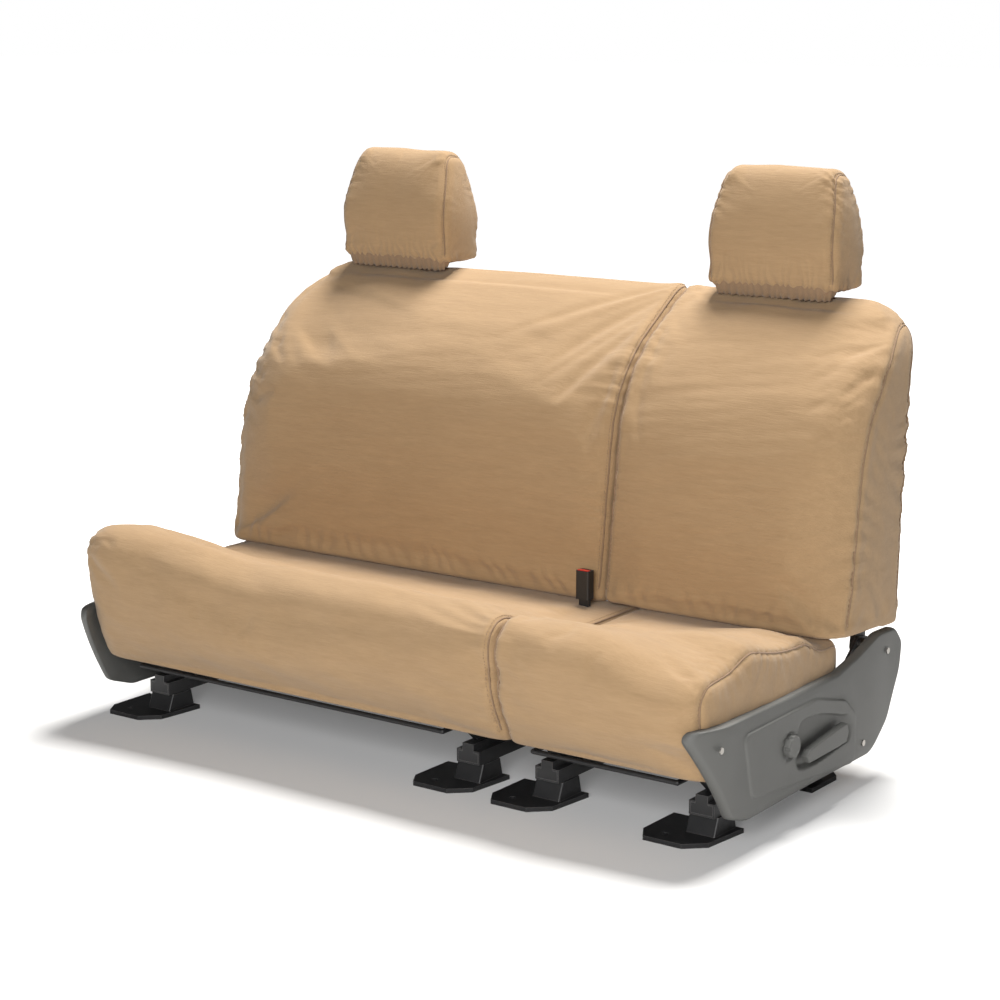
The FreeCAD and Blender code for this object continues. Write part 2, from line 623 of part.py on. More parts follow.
def make_shield(name, section):
    """Moulded side shield: a shallow tray, open towards the seat, with an ear at the recliner."""
    side = section["side"]
    start = "shield_in" if side > 0 else "-shield_out"
    depth = "shield_out - shield_in"
    points = [
        ("-385", "222"), ("60", "222"), ("128", "236"), ("206", "262"), ("276", "258"), ("302", "228"),
        ("296", "180"), ("252", "98"), ("186", "52"), ("-236", "48"), ("-290", "66"),
    ]
    body = slab("side_shield_" + name, "YZ_Plane", points, start, depth)
    outer_x = side * size["shield_out"]
    round_where(body, "7", lambda middle, edge: abs(middle.x - outer_x) < 1e-4)
    inside = [
        ("-378", "219"), ("61", "219"), ("129", "233"), ("206", "259"), ("274", "255"), ("299", "227"),
        ("293", "181"), ("250", "100"), ("185", "55"), ("-235", "51"), ("-288", "68"),
    ]
    inner_start = "shield_in - 1" if side > 0 else "-shield_out + shield_wall"
    pocket(body, outline_sketch(body, "YZ_Plane", inside, inner_start), depth + " - shield_wall + 1")
    holes = [("lever_pivot_y", "lever_pivot_z")]
    if side > 0:
        holes.append(("knob_y", "knob_z"))
    for across, up in holes:
        pocket(body, ring_sketch(body, "YZ_Plane", across, up, "shaft_radius + 0.3", start + " - 1"), depth + " + 2")
    return keep(body)


def outward(side, near, far):
    """Start along X of a piece between two distances from the middle, on either side."""
    return near if side > 0 else negated(far)


def make_lever(name, section):
    """Recline handle: a flat grip that runs forward from its round boss, and its stub shaft."""
    side = section["side"]
    points = [
        ("lever_pivot_y + 12", "lever_pivot_z - 16"), ("lever_pivot_y + 18", "lever_pivot_z"),
        ("lever_pivot_y + 12", "lever_pivot_z + 16"), ("lever_pivot_y - 14", "lever_pivot_z + 15"),
        ("lever_pivot_y - 118", "lever_pivot_z + 2"), ("lever_pivot_y - 126", "lever_pivot_z - 8"),
        ("lever_pivot_y - 118", "lever_pivot_z - 20"), ("lever_pivot_y - 14", "lever_pivot_z - 18"),
    ]
    start = outward(side, "shield_out + slide_gap", "lever_out")
    body = slab("recline_lever_" + name, "YZ_Plane", points, start, "lever_out - shield_out - slide_gap")
    round_where(body, "2.5", lambda middle, edge: abs(abs(middle.x) - size["lever_out"]) < 1e-4)
    shaft = outward(side, "seat_side + 1", "shield_out + slide_gap")
    pad(body, ring_sketch(body, "YZ_Plane", "lever_pivot_y", "lever_pivot_z", "shaft_radius", shaft),
        "shield_out + slide_gap - seat_side - 1")
    return keep(body)


def make_knob():
    """Round lumbar knob with shallow finger flats, on its stub shaft."""
    body = new_body("lumbar_knob_40")
    pad(body, ring_sketch(body, "YZ_Plane", "knob_y", "knob_z", "knob_radius", "shield_out + slide_gap"),
        "lever_out - shield_out - slide_gap")
    round_where(body, "2.5", lambda middle, edge: abs(middle.x - size["lever_out"]) < 1e-4)
    pad(body, ring_sketch(body, "YZ_Plane", "knob_y", "knob_z", "shaft_radius", "seat_side + 1"),
        "shield_out + slide_gap - seat_side - 1")
    flats = 6
    for i in range(flats):
        angle = 2 * math.pi * i / flats
        across = "knob_y + %.4f*knob_radius" % (1.08 * math.cos(angle))
        up = "knob_z + %.4f*knob_radius" % (1.08 * math.sin(angle))
        pocket(body, ring_sketch(body, "YZ_Plane", across, up, "4", "shield_out + 4"), "lever_out")
    return keep(body)


def make_release_bar(name, section):
    """Bent wire under the cushion's front edge that unlocks both of the section's rails."""
    xs = [size[rail] for rail in section["rails"].values()]
    gap = size["riser_half"] + size["bar_radius"] + 2.0
    left, right = min(xs) + gap, max(xs) - gap
    z, front, rear = size["bar_z"], size["bar_y"], size["bar_pivot_y"]
    pieces = [rod("bar_cross_" + name, ((left, front, z), (right, front, z)), "bar_radius")]
    for number, x in enumerate((left, right), start=1):
        pieces.append(ball("bar_bend_%s_%d" % (name, number), (x, front, z), "bar_radius"))
        pieces.append(rod("bar_arm_%s_%d" % (name, number), ((x, front, z), (x, rear, z)), "bar_radius"))
        barrel = ((x - size["bar_barrel"], rear, z), (x + size["bar_barrel"], rear, z))
        pieces.append(rod("bar_barrel_%s_%d" % (name, number), barrel, "bar_radius + 1.5"))
    return keep(fuse("release_bar_" + name, pieces))


def make_buckle():
    """Belt buckle on its sleeve, with the tongue slot and the press button in its end."""
    sleeve = box("buckle_sleeve", ("buckle_x - 10", "buckle_y - 4", "pan_top_z - 2"),
                 ("buckle_x + 10", "buckle_y + 4", "buckle_low_z"))
    sleeve.Label = "buckle_sleeve"
    keep(sleeve)
    points = [
        ("buckle_x - buckle_half", "buckle_y - 10"), ("buckle_x + buckle_half", "buckle_y - 10"),
        ("buckle_x + buckle_half", "buckle_y + 10"), ("buckle_x - buckle_half", "buckle_y + 10"),
    ]
    body = slab("buckle_housing", "XY_Plane", points, "buckle_low_z", "buckle_high_z - buckle_low_z")
    round_where(body, "4", lambda middle, edge: abs(abs(middle.x - size["buckle_x"]) - size["buckle_half"]) < 1e-4
                and abs(abs(middle.y - size["buckle_y"]) - 10) < 1e-4)
    button_well = [
        ("buckle_x - 11.3", "buckle_y - 8"), ("buckle_x + 11.3", "buckle_y - 8"),
        ("buckle_x + 11.3", "buckle_y + 1"), ("buckle_x - 11.3", "buckle_y + 1"),
    ]
    pocket(body, outline_sketch(body, "XY_Plane", button_well, "buckle_high_z - 14"), "20")
    tongue_slot = [
        ("buckle_x - 10", "buckle_y + 4"), ("buckle_x + 10", "buckle_y + 4"),
        ("buckle_x + 10", "buckle_y + 7.2"), ("buckle_x - 10", "buckle_y + 7.2"),
    ]
    pocket(body, outline_sketch(body, "XY_Plane", tongue_slot, "buckle_high_z - 30"), "40")
    keep(body)
    press = [
        ("buckle_x - 11", "buckle_y - 7.7"), ("buckle_x + 11", "buckle_y - 7.7"),
        ("buckle_x + 11", "buckle_y + 0.7"), ("buckle_x - 11", "buckle_y + 0.7"),
    ]
    button = slab("buckle_button", "XY_Plane", press, "buckle_high_z - 14 + button_travel + slide_gap",
                  "14 - slide_gap - 3")
    keep(button)


def make_screws(name, section):
    """Three pan-headed screws that hold the side shield, standing just off its face."""
    side = section["side"]
    screws = []
    for number, (across, up) in enumerate((("-330", "190"), ("150", "80"), ("232", "226")), start=1):
        body = new_body("shield_screw_%s_%d" % (name, number))
        pad(body, ring_sketch(body, "YZ_Plane", across, up, "5.5", outward(side, "shield_out", "shield_out + 2")), "2")
        screws.append(body)
    return keep(group("shield_screws_" + name, screws))


# ---------------------------------------------------------------- the assembly
for name, section in SECTIONS.items():
    for place, rail in section["rails"].items():
        key = "%s_%s" % (name, place)
        make_lower_rail("lower_rail_" + key, rail)
        make_upper_rail("upper_rail_" + key, rail)
        make_riser("riser_" + key, rail)
        make_front_foot("front_foot_" + key, rail)
        make_rear_foot("rear_foot_" + key, rail)
    make_pan(name, section)
    make_wires(name, section)
    make_cushion(name, section)
    frame = make_back_frame(name, section)
    make_guides(name, section)
    make_back(name, section, frame)
    make_headrest(name, section)
    make_brackets(name, section)
    make_shield(name, section)
    make_lever(name, section)
    make_release_bar(name, section)
    make_screws(name, section)
make_knob()
make_buckle()

# ---------------------------------------------------------------- checks and files
doc.recompute()
for thing in doc.Objects:
    if "Invalid" in thing.State or "Error" in thing.State:
        raise RuntimeError("not built: %s (%s)" % (thing.Label, thing.State))
for piece in nodes:
    if piece.Shape.isNull() or not piece.Shape.isValid() or piece.Shape.Volume < 1.0:
        raise RuntimeError("bad shape: " + piece.Label)
os.makedirs("parts", exist_ok=True)
for piece in nodes:
    piece.Shape.exportStep("parts/%s.step" % piece.Label)
    print("%-24s %8.1f cm3  %d solids" % (piece.Label, piece.Shape.Volume / 1000.0, len(piece.Shape.Solids)))
print(len(nodes), "nodes")
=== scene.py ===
import json
import math

import bmesh
import bpy
import numpy as np
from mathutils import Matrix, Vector
from mathutils.bvhtree import BVHTree


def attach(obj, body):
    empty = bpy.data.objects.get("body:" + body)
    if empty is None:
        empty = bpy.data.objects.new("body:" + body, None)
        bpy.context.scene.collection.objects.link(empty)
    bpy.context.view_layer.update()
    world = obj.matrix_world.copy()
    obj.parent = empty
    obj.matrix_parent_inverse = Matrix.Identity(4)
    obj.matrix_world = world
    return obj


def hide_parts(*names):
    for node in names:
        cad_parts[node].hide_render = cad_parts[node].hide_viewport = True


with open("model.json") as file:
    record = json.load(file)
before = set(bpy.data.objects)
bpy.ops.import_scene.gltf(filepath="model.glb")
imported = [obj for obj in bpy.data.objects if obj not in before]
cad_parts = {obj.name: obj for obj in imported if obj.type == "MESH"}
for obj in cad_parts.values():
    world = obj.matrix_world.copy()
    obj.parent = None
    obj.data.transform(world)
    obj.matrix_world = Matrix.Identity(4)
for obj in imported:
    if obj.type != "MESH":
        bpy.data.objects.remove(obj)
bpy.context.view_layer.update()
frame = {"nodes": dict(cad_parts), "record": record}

MM = 0.001
SLOT_OF = {part["node"]: part["material_slot"] for part in frame["record"]["subparts"]}


# ---------------------------------------------------------------- camera and lights
SENSOR_WIDTH = 36.0
BENCH_MIDDLE, WARM_WHITE = (0.0, 0.040, 0.441), (1.0, 0.985, 0.96)


def camera_at(turn, tilt, distance, aim, focal):
    """Camera on a sphere round the aim point: turn goes round from the front, tilt goes up."""
    turn, tilt = math.radians(turn), math.radians(tilt)
    away = Vector((math.sin(turn) * math.cos(tilt), -math.cos(turn) * math.cos(tilt), math.sin(tilt)))
    data = bpy.data.cameras.new("studio_camera")
    data.lens, data.sensor_width = focal, SENSOR_WIDTH
    camera = bpy.data.objects.new("studio_camera", data)
    camera.location = Vector(aim) + away * distance
    camera.rotation_euler = (math.pi / 2 - tilt, 0.0, turn)
    bpy.context.collection.objects.link(camera)
    bpy.context.scene.camera = camera


def soft_light(name, place, aim, width, power, colour=(1.0, 1.0, 1.0)):
    """Square area light that faces its aim point."""
    data = bpy.data.lights.new(name, "AREA")
    data.size, data.energy, data.color = width, power, colour
    lamp = bpy.data.objects.new(name, data)
    lamp.location = place
    lamp.rotation_euler = (Vector(aim) - Vector(place)).to_track_quat("-Z", "Y").to_euler()
    bpy.context.collection.objects.link(lamp)


def pale_world(strength):
    """Even white surroundings: full white to the eye, dimmer as a light."""
    world = bpy.data.worlds.new("studio_world")
    world.use_nodes = True
    tree = world.node_tree
    sky = tree.nodes["Background"]
    sky.inputs["Color"].default_value = (1.0, 1.0, 1.0, 1.0)
    path = tree.nodes.new("ShaderNodeLightPath")
    level = tree.nodes.new("ShaderNodeMapRange")
    level.inputs["To Min"].default_value = strength
    level.inputs["To Max"].default_value = 1.0
    tree.links.new(path.outputs["Is Camera Ray"], level.inputs["Value"])
    tree.links.new(level.outputs["Result"], sky.inputs["Strength"])
    bpy.context.scene.world = world


camera_at(turn=35.8, tilt=11.8, distance=4.366, aim=BENCH_MIDDLE, focal=86.5)
bpy.context.scene.view_settings.view_transform = "Standard"
pale_world(0.06)
soft_light("overhead", (0.0, 1.6, 5.3), aim=(0.0, -0.05, 0.3), width=1.7, power=540.0, colour=WARM_WHITE)
soft_light("front_fill", (1.9, -3.7, 1.8), aim=(0.0, 0.0, 0.4), width=1.8, power=140.0)


# ---------------------------------------------------------------- outlines and surfaces
# Lengths below are in millimetres; side views are lists of (y, z, corner radius).
ARC_POINTS, MOST_OF_SIDE = 24, 0.49
ROLL_COUNT, SHRINK_COUNT = 9, 11
FOOT_LEVEL, FOOT_FLAT, FOOT_EASE = 50, 16, 45


def lengths_along(curve):
    """How far along a curve each of its points is."""
    return np.concatenate([[0], np.cumsum(np.linalg.norm(np.diff(curve, axis=0), axis=1))])


def rounded_outline(corners, step):
    """Closed polygon with its corners turned into tangent arcs, as evenly spaced points.

    At a corner of inner angle 2h an arc of radius r touches both sides r / tan(h) from the corner,
    about a centre on the bisector r / sin(h) away.
    """
    places = np.array([corner[:2] for corner in corners], float)
    path = []
    for i, (_, _, radius) in enumerate(corners):
        here = places[i]
        back, ahead = places[i - 1] - here, places[(i + 1) % len(places)] - here
        back_length, ahead_length = np.linalg.norm(back), np.linalg.norm(ahead)
        back, ahead = back / back_length, ahead / ahead_length
        half = math.acos(np.clip(back @ ahead, -1, 1)) / 2
        reach = min(radius / math.tan(half), MOST_OF_SIDE * back_length, MOST_OF_SIDE * ahead_length)
        radius = reach * math.tan(half)
        middle = (back + ahead) / np.linalg.norm(back + ahead)
        centre = here + middle * radius / math.sin(half)
        first, last = here + back * reach - centre, here + ahead * reach - centre
        begin = math.atan2(first[1], first[0])
        turn = (math.atan2(last[1], last[0]) - begin + math.pi) % (2 * math.pi) - math.pi
        angles = begin + turn * np.linspace(0, 1, ARC_POINTS)
        path.append(centre + radius * np.stack([np.cos(angles), np.sin(angles)], 1))
    path = np.concatenate(path)
    path = np.concatenate([path, path[:1]])
    along = lengths_along(path)
    even = np.linspace(0, along[-1], int(along[-1] / step), endpoint=False)
    return np.stack([np.interp(even, along, path[:, k]) for k in (0, 1)], 1)


def inward(outline):
    """Unit normals of a closed outline, pointing to its inside."""
    tangent = np.roll(outline, -1, 0) - np.roll(outline, 1, 0)
    tangent /= np.linalg.norm(tangent, axis=1, keepdims=True)
    after = np.roll(outline, -1, 0)
    area = np.sum(outline[:, 0] * after[:, 1] - after[:, 0] * outline[:, 1])
    return np.stack([-tangent[:, 1], tangent[:, 0]], 1) * np.sign(area)


def ease(value):
    """0 below 0, 1 above 1, and 3v^2 - 2v^3 between."""
    v = np.clip(value, 0, 1)
    return v * v * (3 - 2 * v)


def depths_at(outline, heights):
    """Front and rear of a side view at given heights."""
    line = np.roll(outline, -np.argmin(outline[:, 0] + outline[:, 1]), axis=0)
    top = np.argmax(line[:, 1])
    found = []
    for side in (line[:top + 1], line[top:]):
        order = np.argsort(side[:, 1])
        found.append(np.interp(heights, side[order, 1], side[order, 0]))
    return sorted(found, key=np.mean)


def drawn_in(outline, amount):
    """The outline moved in by amount: along its normals, but near its foot only from front and rear.

    There y goes towards the middle m of the foot by amount (m - y) / h, with h half the foot's depth.
    """
    y, z = outline.T
    foot = z.min() + FOOT_LEVEL
    front, rear = depths_at(outline, np.array([foot]))
    half = (rear[0] - front[0]) / 2
    amount = np.broadcast_to(amount, len(y))
    level = np.stack([y + amount * np.clip((front[0] + half - y) / half, -1, 1), z], 1)
    high = ease((z - z.min() - FOOT_FLAT) / FOOT_EASE)[:, None]
    return high * (outline + inward(outline) * amount[:, None]) + (1 - high) * level


def padded_rings(outline, left, right, edge_left, edge_right, crown, step):
    """Rings of a padded block whose side view is the outline and whose ends are rolled over.

    Over the roll's quarter turn a, a ring goes out by r sin(a) and is drawn in by r (1 - cos(a));
    r may differ along the outline. Past it each end panel shrinks to its middle by a factor c and
    stands out by crown (1 - c^2).
    """
    rolls = np.linspace(0, math.pi / 2, ROLL_COUNT)
    shrinks = np.linspace(1, 0, SHRINK_COUNT + 1)[1:]

    def ring(x, inset, shrink=1.0):
        """The outline at x, drawn in by the inset and shrunk about its middle."""
        flat = drawn_in(outline, inset)
        centre = flat.mean(0)
        flat = centre + (flat - centre) * shrink
        return np.column_stack([np.broadcast_to(x, len(flat)), flat])

    rings = [ring(left - crown * (1 - c * c), edge_left, c) for c in shrinks[::-1]]
    rings += [ring(left + edge_left * (1 - math.sin(a)), edge_left * (1 - math.cos(a)))
              for a in rolls[::-1]]
    inner_left, inner_right = left + edge_left, right - edge_right
    count = max(3, int((right - left) / step))
    for part in np.linspace(0, 1, count)[1:-1]:
        rings.append(ring(inner_left + (inner_right - inner_left) * part, 0 * edge_left))
    rings += [ring(right - edge_right * (1 - math.sin(a)), edge_right * (1 - math.cos(a)))
              for a in rolls]
    rings += [ring(right + crown * (1 - c * c), edge_right, c) for c in shrinks]
    return np.array(rings)


def seam_ring(rings, end, turn_part):
    """The ring of a padded form at a part of its end roll, 0 at the face and 1 at the end panel."""
    index = round(turn_part * (ROLL_COUNT - 1))
    if end == "left":
        return rings[SHRINK_COUNT + ROLL_COUNT - 1 - index]
    return rings[len(rings) - SHRINK_COUNT - ROLL_COUNT + index]


SAME_PLACE = 1e-6  # metres


def grid_faces(rows, columns, closed_across):
    """Quads of a grid with its rows joined in order, and its columns in a loop if closed."""
    row = np.arange(rows - 1)[:, None]
    column = np.arange(columns if closed_across else columns - 1)[None, :]
    after = (column + 1) % columns
    here, ahead = row * columns, (row + 1) * columns
    quads = [here + column, ahead + column, ahead + after, here + after]
    return np.stack(np.broadcast_arrays(*quads), -1).reshape(-1, 4)


def reworked(mesh, change):
    """Apply a change to the mesh's editable copy, turn the faces outward and write it back."""
    work = bmesh.new()
    work.from_mesh(mesh)
    change(work)
    bmesh.ops.recalc_face_normals(work, faces=work.faces)
    work.to_mesh(mesh)
    work.free()


def new_piece(name, points, faces, smooth=True):
    """Object with its mesh in metres, doubles merged and faces turned outward."""
    mesh = bpy.data.meshes.new(name)
    mesh.from_pydata((points.reshape(-1, 3) * MM).tolist(), [], [list(face) for face in faces])
    reworked(mesh, lambda work: bmesh.ops.remove_doubles(work, verts=work.verts, dist=SAME_PLACE))
    mesh.polygons.foreach_set("use_smooth", np.full(len(mesh.polygons), smooth))
    piece = bpy.data.objects.new(name, mesh)
    bpy.context.collection.objects.link(piece)
    return piece


def vertex_array(mesh, what="co"):
    """The mesh's vertex places in metres, or with what = "normal" its vertex normals."""
    values = np.empty(len(mesh.vertices) * 3)
    mesh.vertices.foreach_get(what, values)
    return values.reshape(-1, 3)


def bake_modifiers(piece):
    """Replace the piece's mesh by what its modifiers make of it."""
    graph = bpy.context.evaluated_depsgraph_get()
    made = bpy.data.meshes.new_from_object(piece.evaluated_get(graph))
    old = piece.data
    piece.modifiers.clear()
    piece.data = made
    bpy.data.meshes.remove(old)
    made.polygons.foreach_set("use_smooth", np.ones(len(made.polygons), bool))


BLOCK = 4000  # points measured at once, which bounds the memory used


def nearest_on(points, curve):
    """Distance of each point to a curve's points, and how far along the curve the nearest one is."""
    along = lengths_along(curve)
    distance, place = np.empty(len(points)), np.empty(len(points))
    for begin in range(0, len(points), BLOCK):
        block = points[begin:begin + BLOCK]
        gaps = np.linalg.norm(block[:, None, :] - curve[None, :, :], axis=2)
        best = gaps.argmin(1)
        distance[begin:begin + BLOCK] = gaps[np.arange(len(block)), best]
        place[begin:begin + BLOCK] = along[best]
    return distance, place


PRESSURE, FRAMES = 4.0, 20


def inflate(piece, seams, voxel, cap):
    """Even out the mesh, blow it up like a stuffed cover held at its seams, and cap the swelling.
    """
    remesh = piece.modifiers.new("even_mesh", "REMESH")
    remesh.mode, remesh.voxel_size = "VOXEL", voxel * MM
    bake_modifiers(piece)
    start = vertex_array(piece.data)
    most = cap(start / MM)[:, None] * MM
    distance = np.min([nearest_on(start / MM, seam)[0] for seam in seams], axis=0)
    held = piece.vertex_groups.new(name="held")
    held.add([int(i) for i in np.flatnonzero(distance < 0.9 * voxel)], 1.0, "REPLACE")
    cloth = piece.modifiers.new("stuffing", "CLOTH")
    rules = cloth.settings
    rules.quality = 4
    rules.mass = 0.3
    rules.tension_stiffness, rules.compression_stiffness = 18.0, 12.0
    rules.shear_stiffness, rules.bending_stiffness = 8.0, 0.6
    rules.use_pressure, rules.uniform_pressure_force = True, PRESSURE
    rules.effector_weights.gravity = 0.0
    rules.vertex_group_mass = "held"
    scene = bpy.context.scene
    cloth.point_cache.frame_start, cloth.point_cache.frame_end = 1, FRAMES
    for number in range(1, FRAMES + 1):
        scene.frame_set(number)
    graph = bpy.context.evaluated_depsgraph_get()
    moved = vertex_array(piece.evaluated_get(graph).data)
    piece.modifiers.clear()
    piece.vertex_groups.clear()
    scene.frame_set(1)
    shift = moved - start
    length = np.linalg.norm(shift, axis=1, keepdims=True)
    shift *= np.minimum(1.0, most / np.maximum(length, 1e-9))
    piece.data.vertices.foreach_set("co", (start + shift).ravel())
    finer = piece.modifiers.new("finer", "SUBSURF")
    finer.levels = finer.render_levels = 1
    bake_modifiers(piece)


def press_folds(piece, folds):
    """Move each vertex along its normal by folds(points), points and result in millimetres."""
    mesh = piece.data
    points, normals = vertex_array(mesh), vertex_array(mesh, "normal")
    mesh.vertices.foreach_set("co", (points + normals * folds(points / MM)[:, None] * MM).ravel())
    mesh.update()


def snapped(piece, curve, lift):
    """The curve's points put on the piece's surface and lifted off it, with the surface normals."""
    mesh = piece.data
    tree = BVHTree.FromPolygons([v.co for v in mesh.vertices], [face.vertices for face in mesh.polygons])
    hits = [tree.find_nearest(Vector(point * MM)) for point in curve]
    places = np.array([hit[0] for hit in hits]) / MM
    normals = np.array([hit[1] for hit in hits])
    return places + normals * lift, normals


def evenly(curve, step):
    """The curve's points spaced evenly by about one step."""
    along = lengths_along(curve)
    even = np.linspace(0, along[-1], max(4, int(along[-1] / step)))
    return np.stack([np.interp(even, along, curve[:, k]) for k in range(3)], 1)


def smoothed(curve, times):
    """The curve with each inner point moved halfway to its neighbours' mean, repeatedly."""
    curve = curve.copy()
    for _ in range(times):
        curve[1:-1] = 0.5 * curve[1:-1] + 0.25 * (curve[:-2] + curve[2:])
    return curve


def circle_of(sides, across, over):
    """Unit circle of equally spaced points, cos(a) across + sin(a) over, at each place of a path."""
    angles = np.linspace(0, 2 * math.pi, sides, endpoint=False)
    return (np.cos(angles)[None, :, None] * across[:, None, :]
            + np.sin(angles)[None, :, None] * over[:, None, :])


ODD_WAY = [0.31, 0.17, 0.94]  # no seam runs along it, so it can be crossed with any of them
POINTED = 1e-4


def tube_along(name, path, radius, sides=8):
    """Closed round tube: a circle of the radius carried along the path, its ends drawn to a point."""
    tangent = np.gradient(path, axis=0)
    tangent /= np.linalg.norm(tangent, axis=1, keepdims=True)
    across = np.cross(tangent, ODD_WAY)
    across /= np.linalg.norm(across, axis=1, keepdims=True)
    width = np.full(len(path), radius)
    width[0] = width[-1] = POINTED
    points = path[:, None, :] + circle_of(sides, across, np.cross(tangent, across)) * width[:, None, None]
    return new_piece(name, points, grid_faces(len(path), sides, True))


WAVES = 8


def lumps(points, size, seed):
    """Smooth uneven field of about -1 to 1: added sine waves of about that length, in seeded directions."""
    draw = np.random.default_rng(seed)
    directions = draw.normal(size=(WAVES, 3))
    directions /= np.linalg.norm(directions, axis=1, keepdims=True)
    lengths = size * draw.uniform(0.7, 1.5, WAVES)
    phases = draw.uniform(0, 2 * math.pi, WAVES)
    return np.sin(points @ (directions / lengths[:, None]).T * 2 * math.pi + phases).sum(1) / 3.0


def sewn_groove(distance, depth, puff):
    """Cloth near a seam: down by depth on it, and up by puff one finger away, both as bell curves."""
    return -depth * np.exp(-(distance / 4.0) ** 2) + puff * np.exp(-((distance - 13) / 9.0) ** 2)


def gathers(points, seam, reach, pitch, seed):
    """Folds that leave a seam: a sine of the place along it over the pitch, fading as exp(-distance / reach).

    Lumps shift the place, so no two folds are alike, and switch the folds on and off along the seam.
    """
    distance, place = nearest_on(points, seam)
    shifted = place + 0.55 * pitch * lumps(points, 3.2 * pitch, seed)
    strength = np.clip(0.55 + 0.6 * lumps(points, 6 * pitch, seed + 1), 0, 1.2)
    return strength * np.exp(-distance / reach) * np.sin(2 * math.pi * shifted / pitch)


def window(value, low, high, soft):
    """1 between low and high, easing to 0 over soft outside."""
    return ease((value - low) / soft + 1) * ease((high - value) / soft + 1)


# ---------------------------------------------------------------- covers
FABRIC_PIECES, THREAD_PIECES, HEM_PIECES = [], [], []


def stuffed_cover(name, body, rings, seams, voxel, cap, folds, stands_for):
    """A stuffed cover made from its rings: blown up between its seams, then creased."""
    piece = new_piece(name, rings, grid_faces(*rings.shape[:2], True))
    inflate(piece, seams, voxel, cap)
    press_folds(piece, folds)
    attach(piece, body)
    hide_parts(*stands_for)
    FABRIC_PIECES.append(piece)
    return piece


def seam_on(cover, name, body, curve, radius=1.7, lift=0.2):
    """A rolled seam along a curve: the cloth's folded edge, as a thin tube half sunk in the cover."""
    path, _ = snapped(cover, smoothed(evenly(curve, 5.0), 4), lift)
    cord = tube_along(name, smoothed(path, 3), radius)
    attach(cord, body)
    HEM_PIECES.append(cord)


STITCH_SIDES = 6


def stitches_on(cover, name, body, curve, pitch=5.5, length=3.4, radius=0.55):
    """A row of stitches: at every pitch along the curve one short many-sided stitch with pointed ends."""
    path, normals = snapped(cover, smoothed(evenly(curve, pitch), 2), 0.35)
    heading = np.gradient(path, axis=0)
    heading /= np.linalg.norm(heading, axis=1, keepdims=True)
    aside = np.cross(heading, normals)
    aside /= np.linalg.norm(aside, axis=1, keepdims=True)
    places, widths = np.array([-0.5, -0.3, 0.3, 0.5]), np.array([1e-3, 1.0, 1.0, 1e-3])
    circle = circle_of(STITCH_SIDES, aside, np.cross(aside, heading))
    points = (path[:, None, None, :] + (places * length)[None, :, None, None] * heading[:, None, None, :]
              + widths[None, :, None, None] * radius * circle[:, None, :, :])
    one = grid_faces(len(places), STITCH_SIDES, True)
    first_corner = len(places) * STITCH_SIDES * np.arange(len(path))
    faces = (one[None] + first_corner[:, None, None]).reshape(-1, 4)
    row = new_piece(name, points, faces)
    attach(row, body)
    THREAD_PIECES.append(row)


def opened(seam, floor):
    """The part of a closed seam above a height, from where the rest was cut out."""
    above = seam[seam[:, 2] > floor]
    gaps = np.linalg.norm(np.diff(np.concatenate([above, above[:1]]), axis=0), axis=1)
    return np.roll(above, -np.argmax(gaps) - 1, axis=0)


def sew(cover, part, name, body, seams, floor, middle, beside=7.0, cord=1.7, pitch=5.5, length=3.4):
    """A cord on each labelled seam, and a row of stitches beside it, towards the middle."""
    for label, seam in seams:
        line = opened(seam, floor)
        seam_on(cover, "%s_seam_%s_%s" % (part, label, name), body, line, cord)
        row = line + [beside * np.sign(middle - seam[0, 0]), 0, 0]
        stitches_on(cover, "%s_stitches_%s_%s" % (part, label, name), body, row, pitch, length)


CUSHION_END, CUSHION_SPLIT = 670.0, (274.5, 277.5)
BACK_END, BACK_SPLIT = 688.0, (216.5, 219.5)
HEADREST_FROM_MIDDLE, POST_FROM_HEADREST = 420.0, 65
CUSHION_SIDE = [(-322, 122, 14), (100, 122, 12), (100, 278, 15), (-112, 277, 358), (-380, 369.5, 66),
                (-369, 208, 220)]
BACK_SIDE = [(40, 279.5, 7), (60, 452, 200), (94.4, 689, 515), (297, 822, 60), (346, 834, 27), (312, 266, 7)]
BACK_FRONT_FOOT, BACK_DEPTH, BACK_FOOT_FALL = 40, 272, 13.5
HEADREST_SIDE = [(266, 834, 14), (247, 925, 160), (292, 1050, 34), (354, 1044, 34), (390, 905, 120),
                 (378, 834, 14)]


def slack(outline, amount, floor):
    """The outline drawn in along its normals by amount, but not near its foot."""
    return outline + inward(outline) * (amount * ease((outline[:, 1] - floor - 8) / 30))[:, None]


def cushion_edges(outline, front, rear):
    """Roll radius along a cushion's outline: large round the nose, smaller behind."""
    return rear + (front - rear) * ease((-120 - outline[:, 0]) / 190)


def shaped_cushion(points):
    """Cushion raised over the left knee, and at the right end raised behind and let down in front."""
    x, y, z = points[..., 0], points[..., 1], points[..., 2]
    left = 36.0 * ease((-250 - x) / 360) * ease((-40 - y) / 170)
    right = ease((x - 430) / 190) * (27.0 * window(y, -190, -30, 75) - 40.0 * ease((-215 - y) / 150))
    lifted = z + ease((z - 150) / 120) * (left + right)
    return np.stack([x, y, lifted], -1)


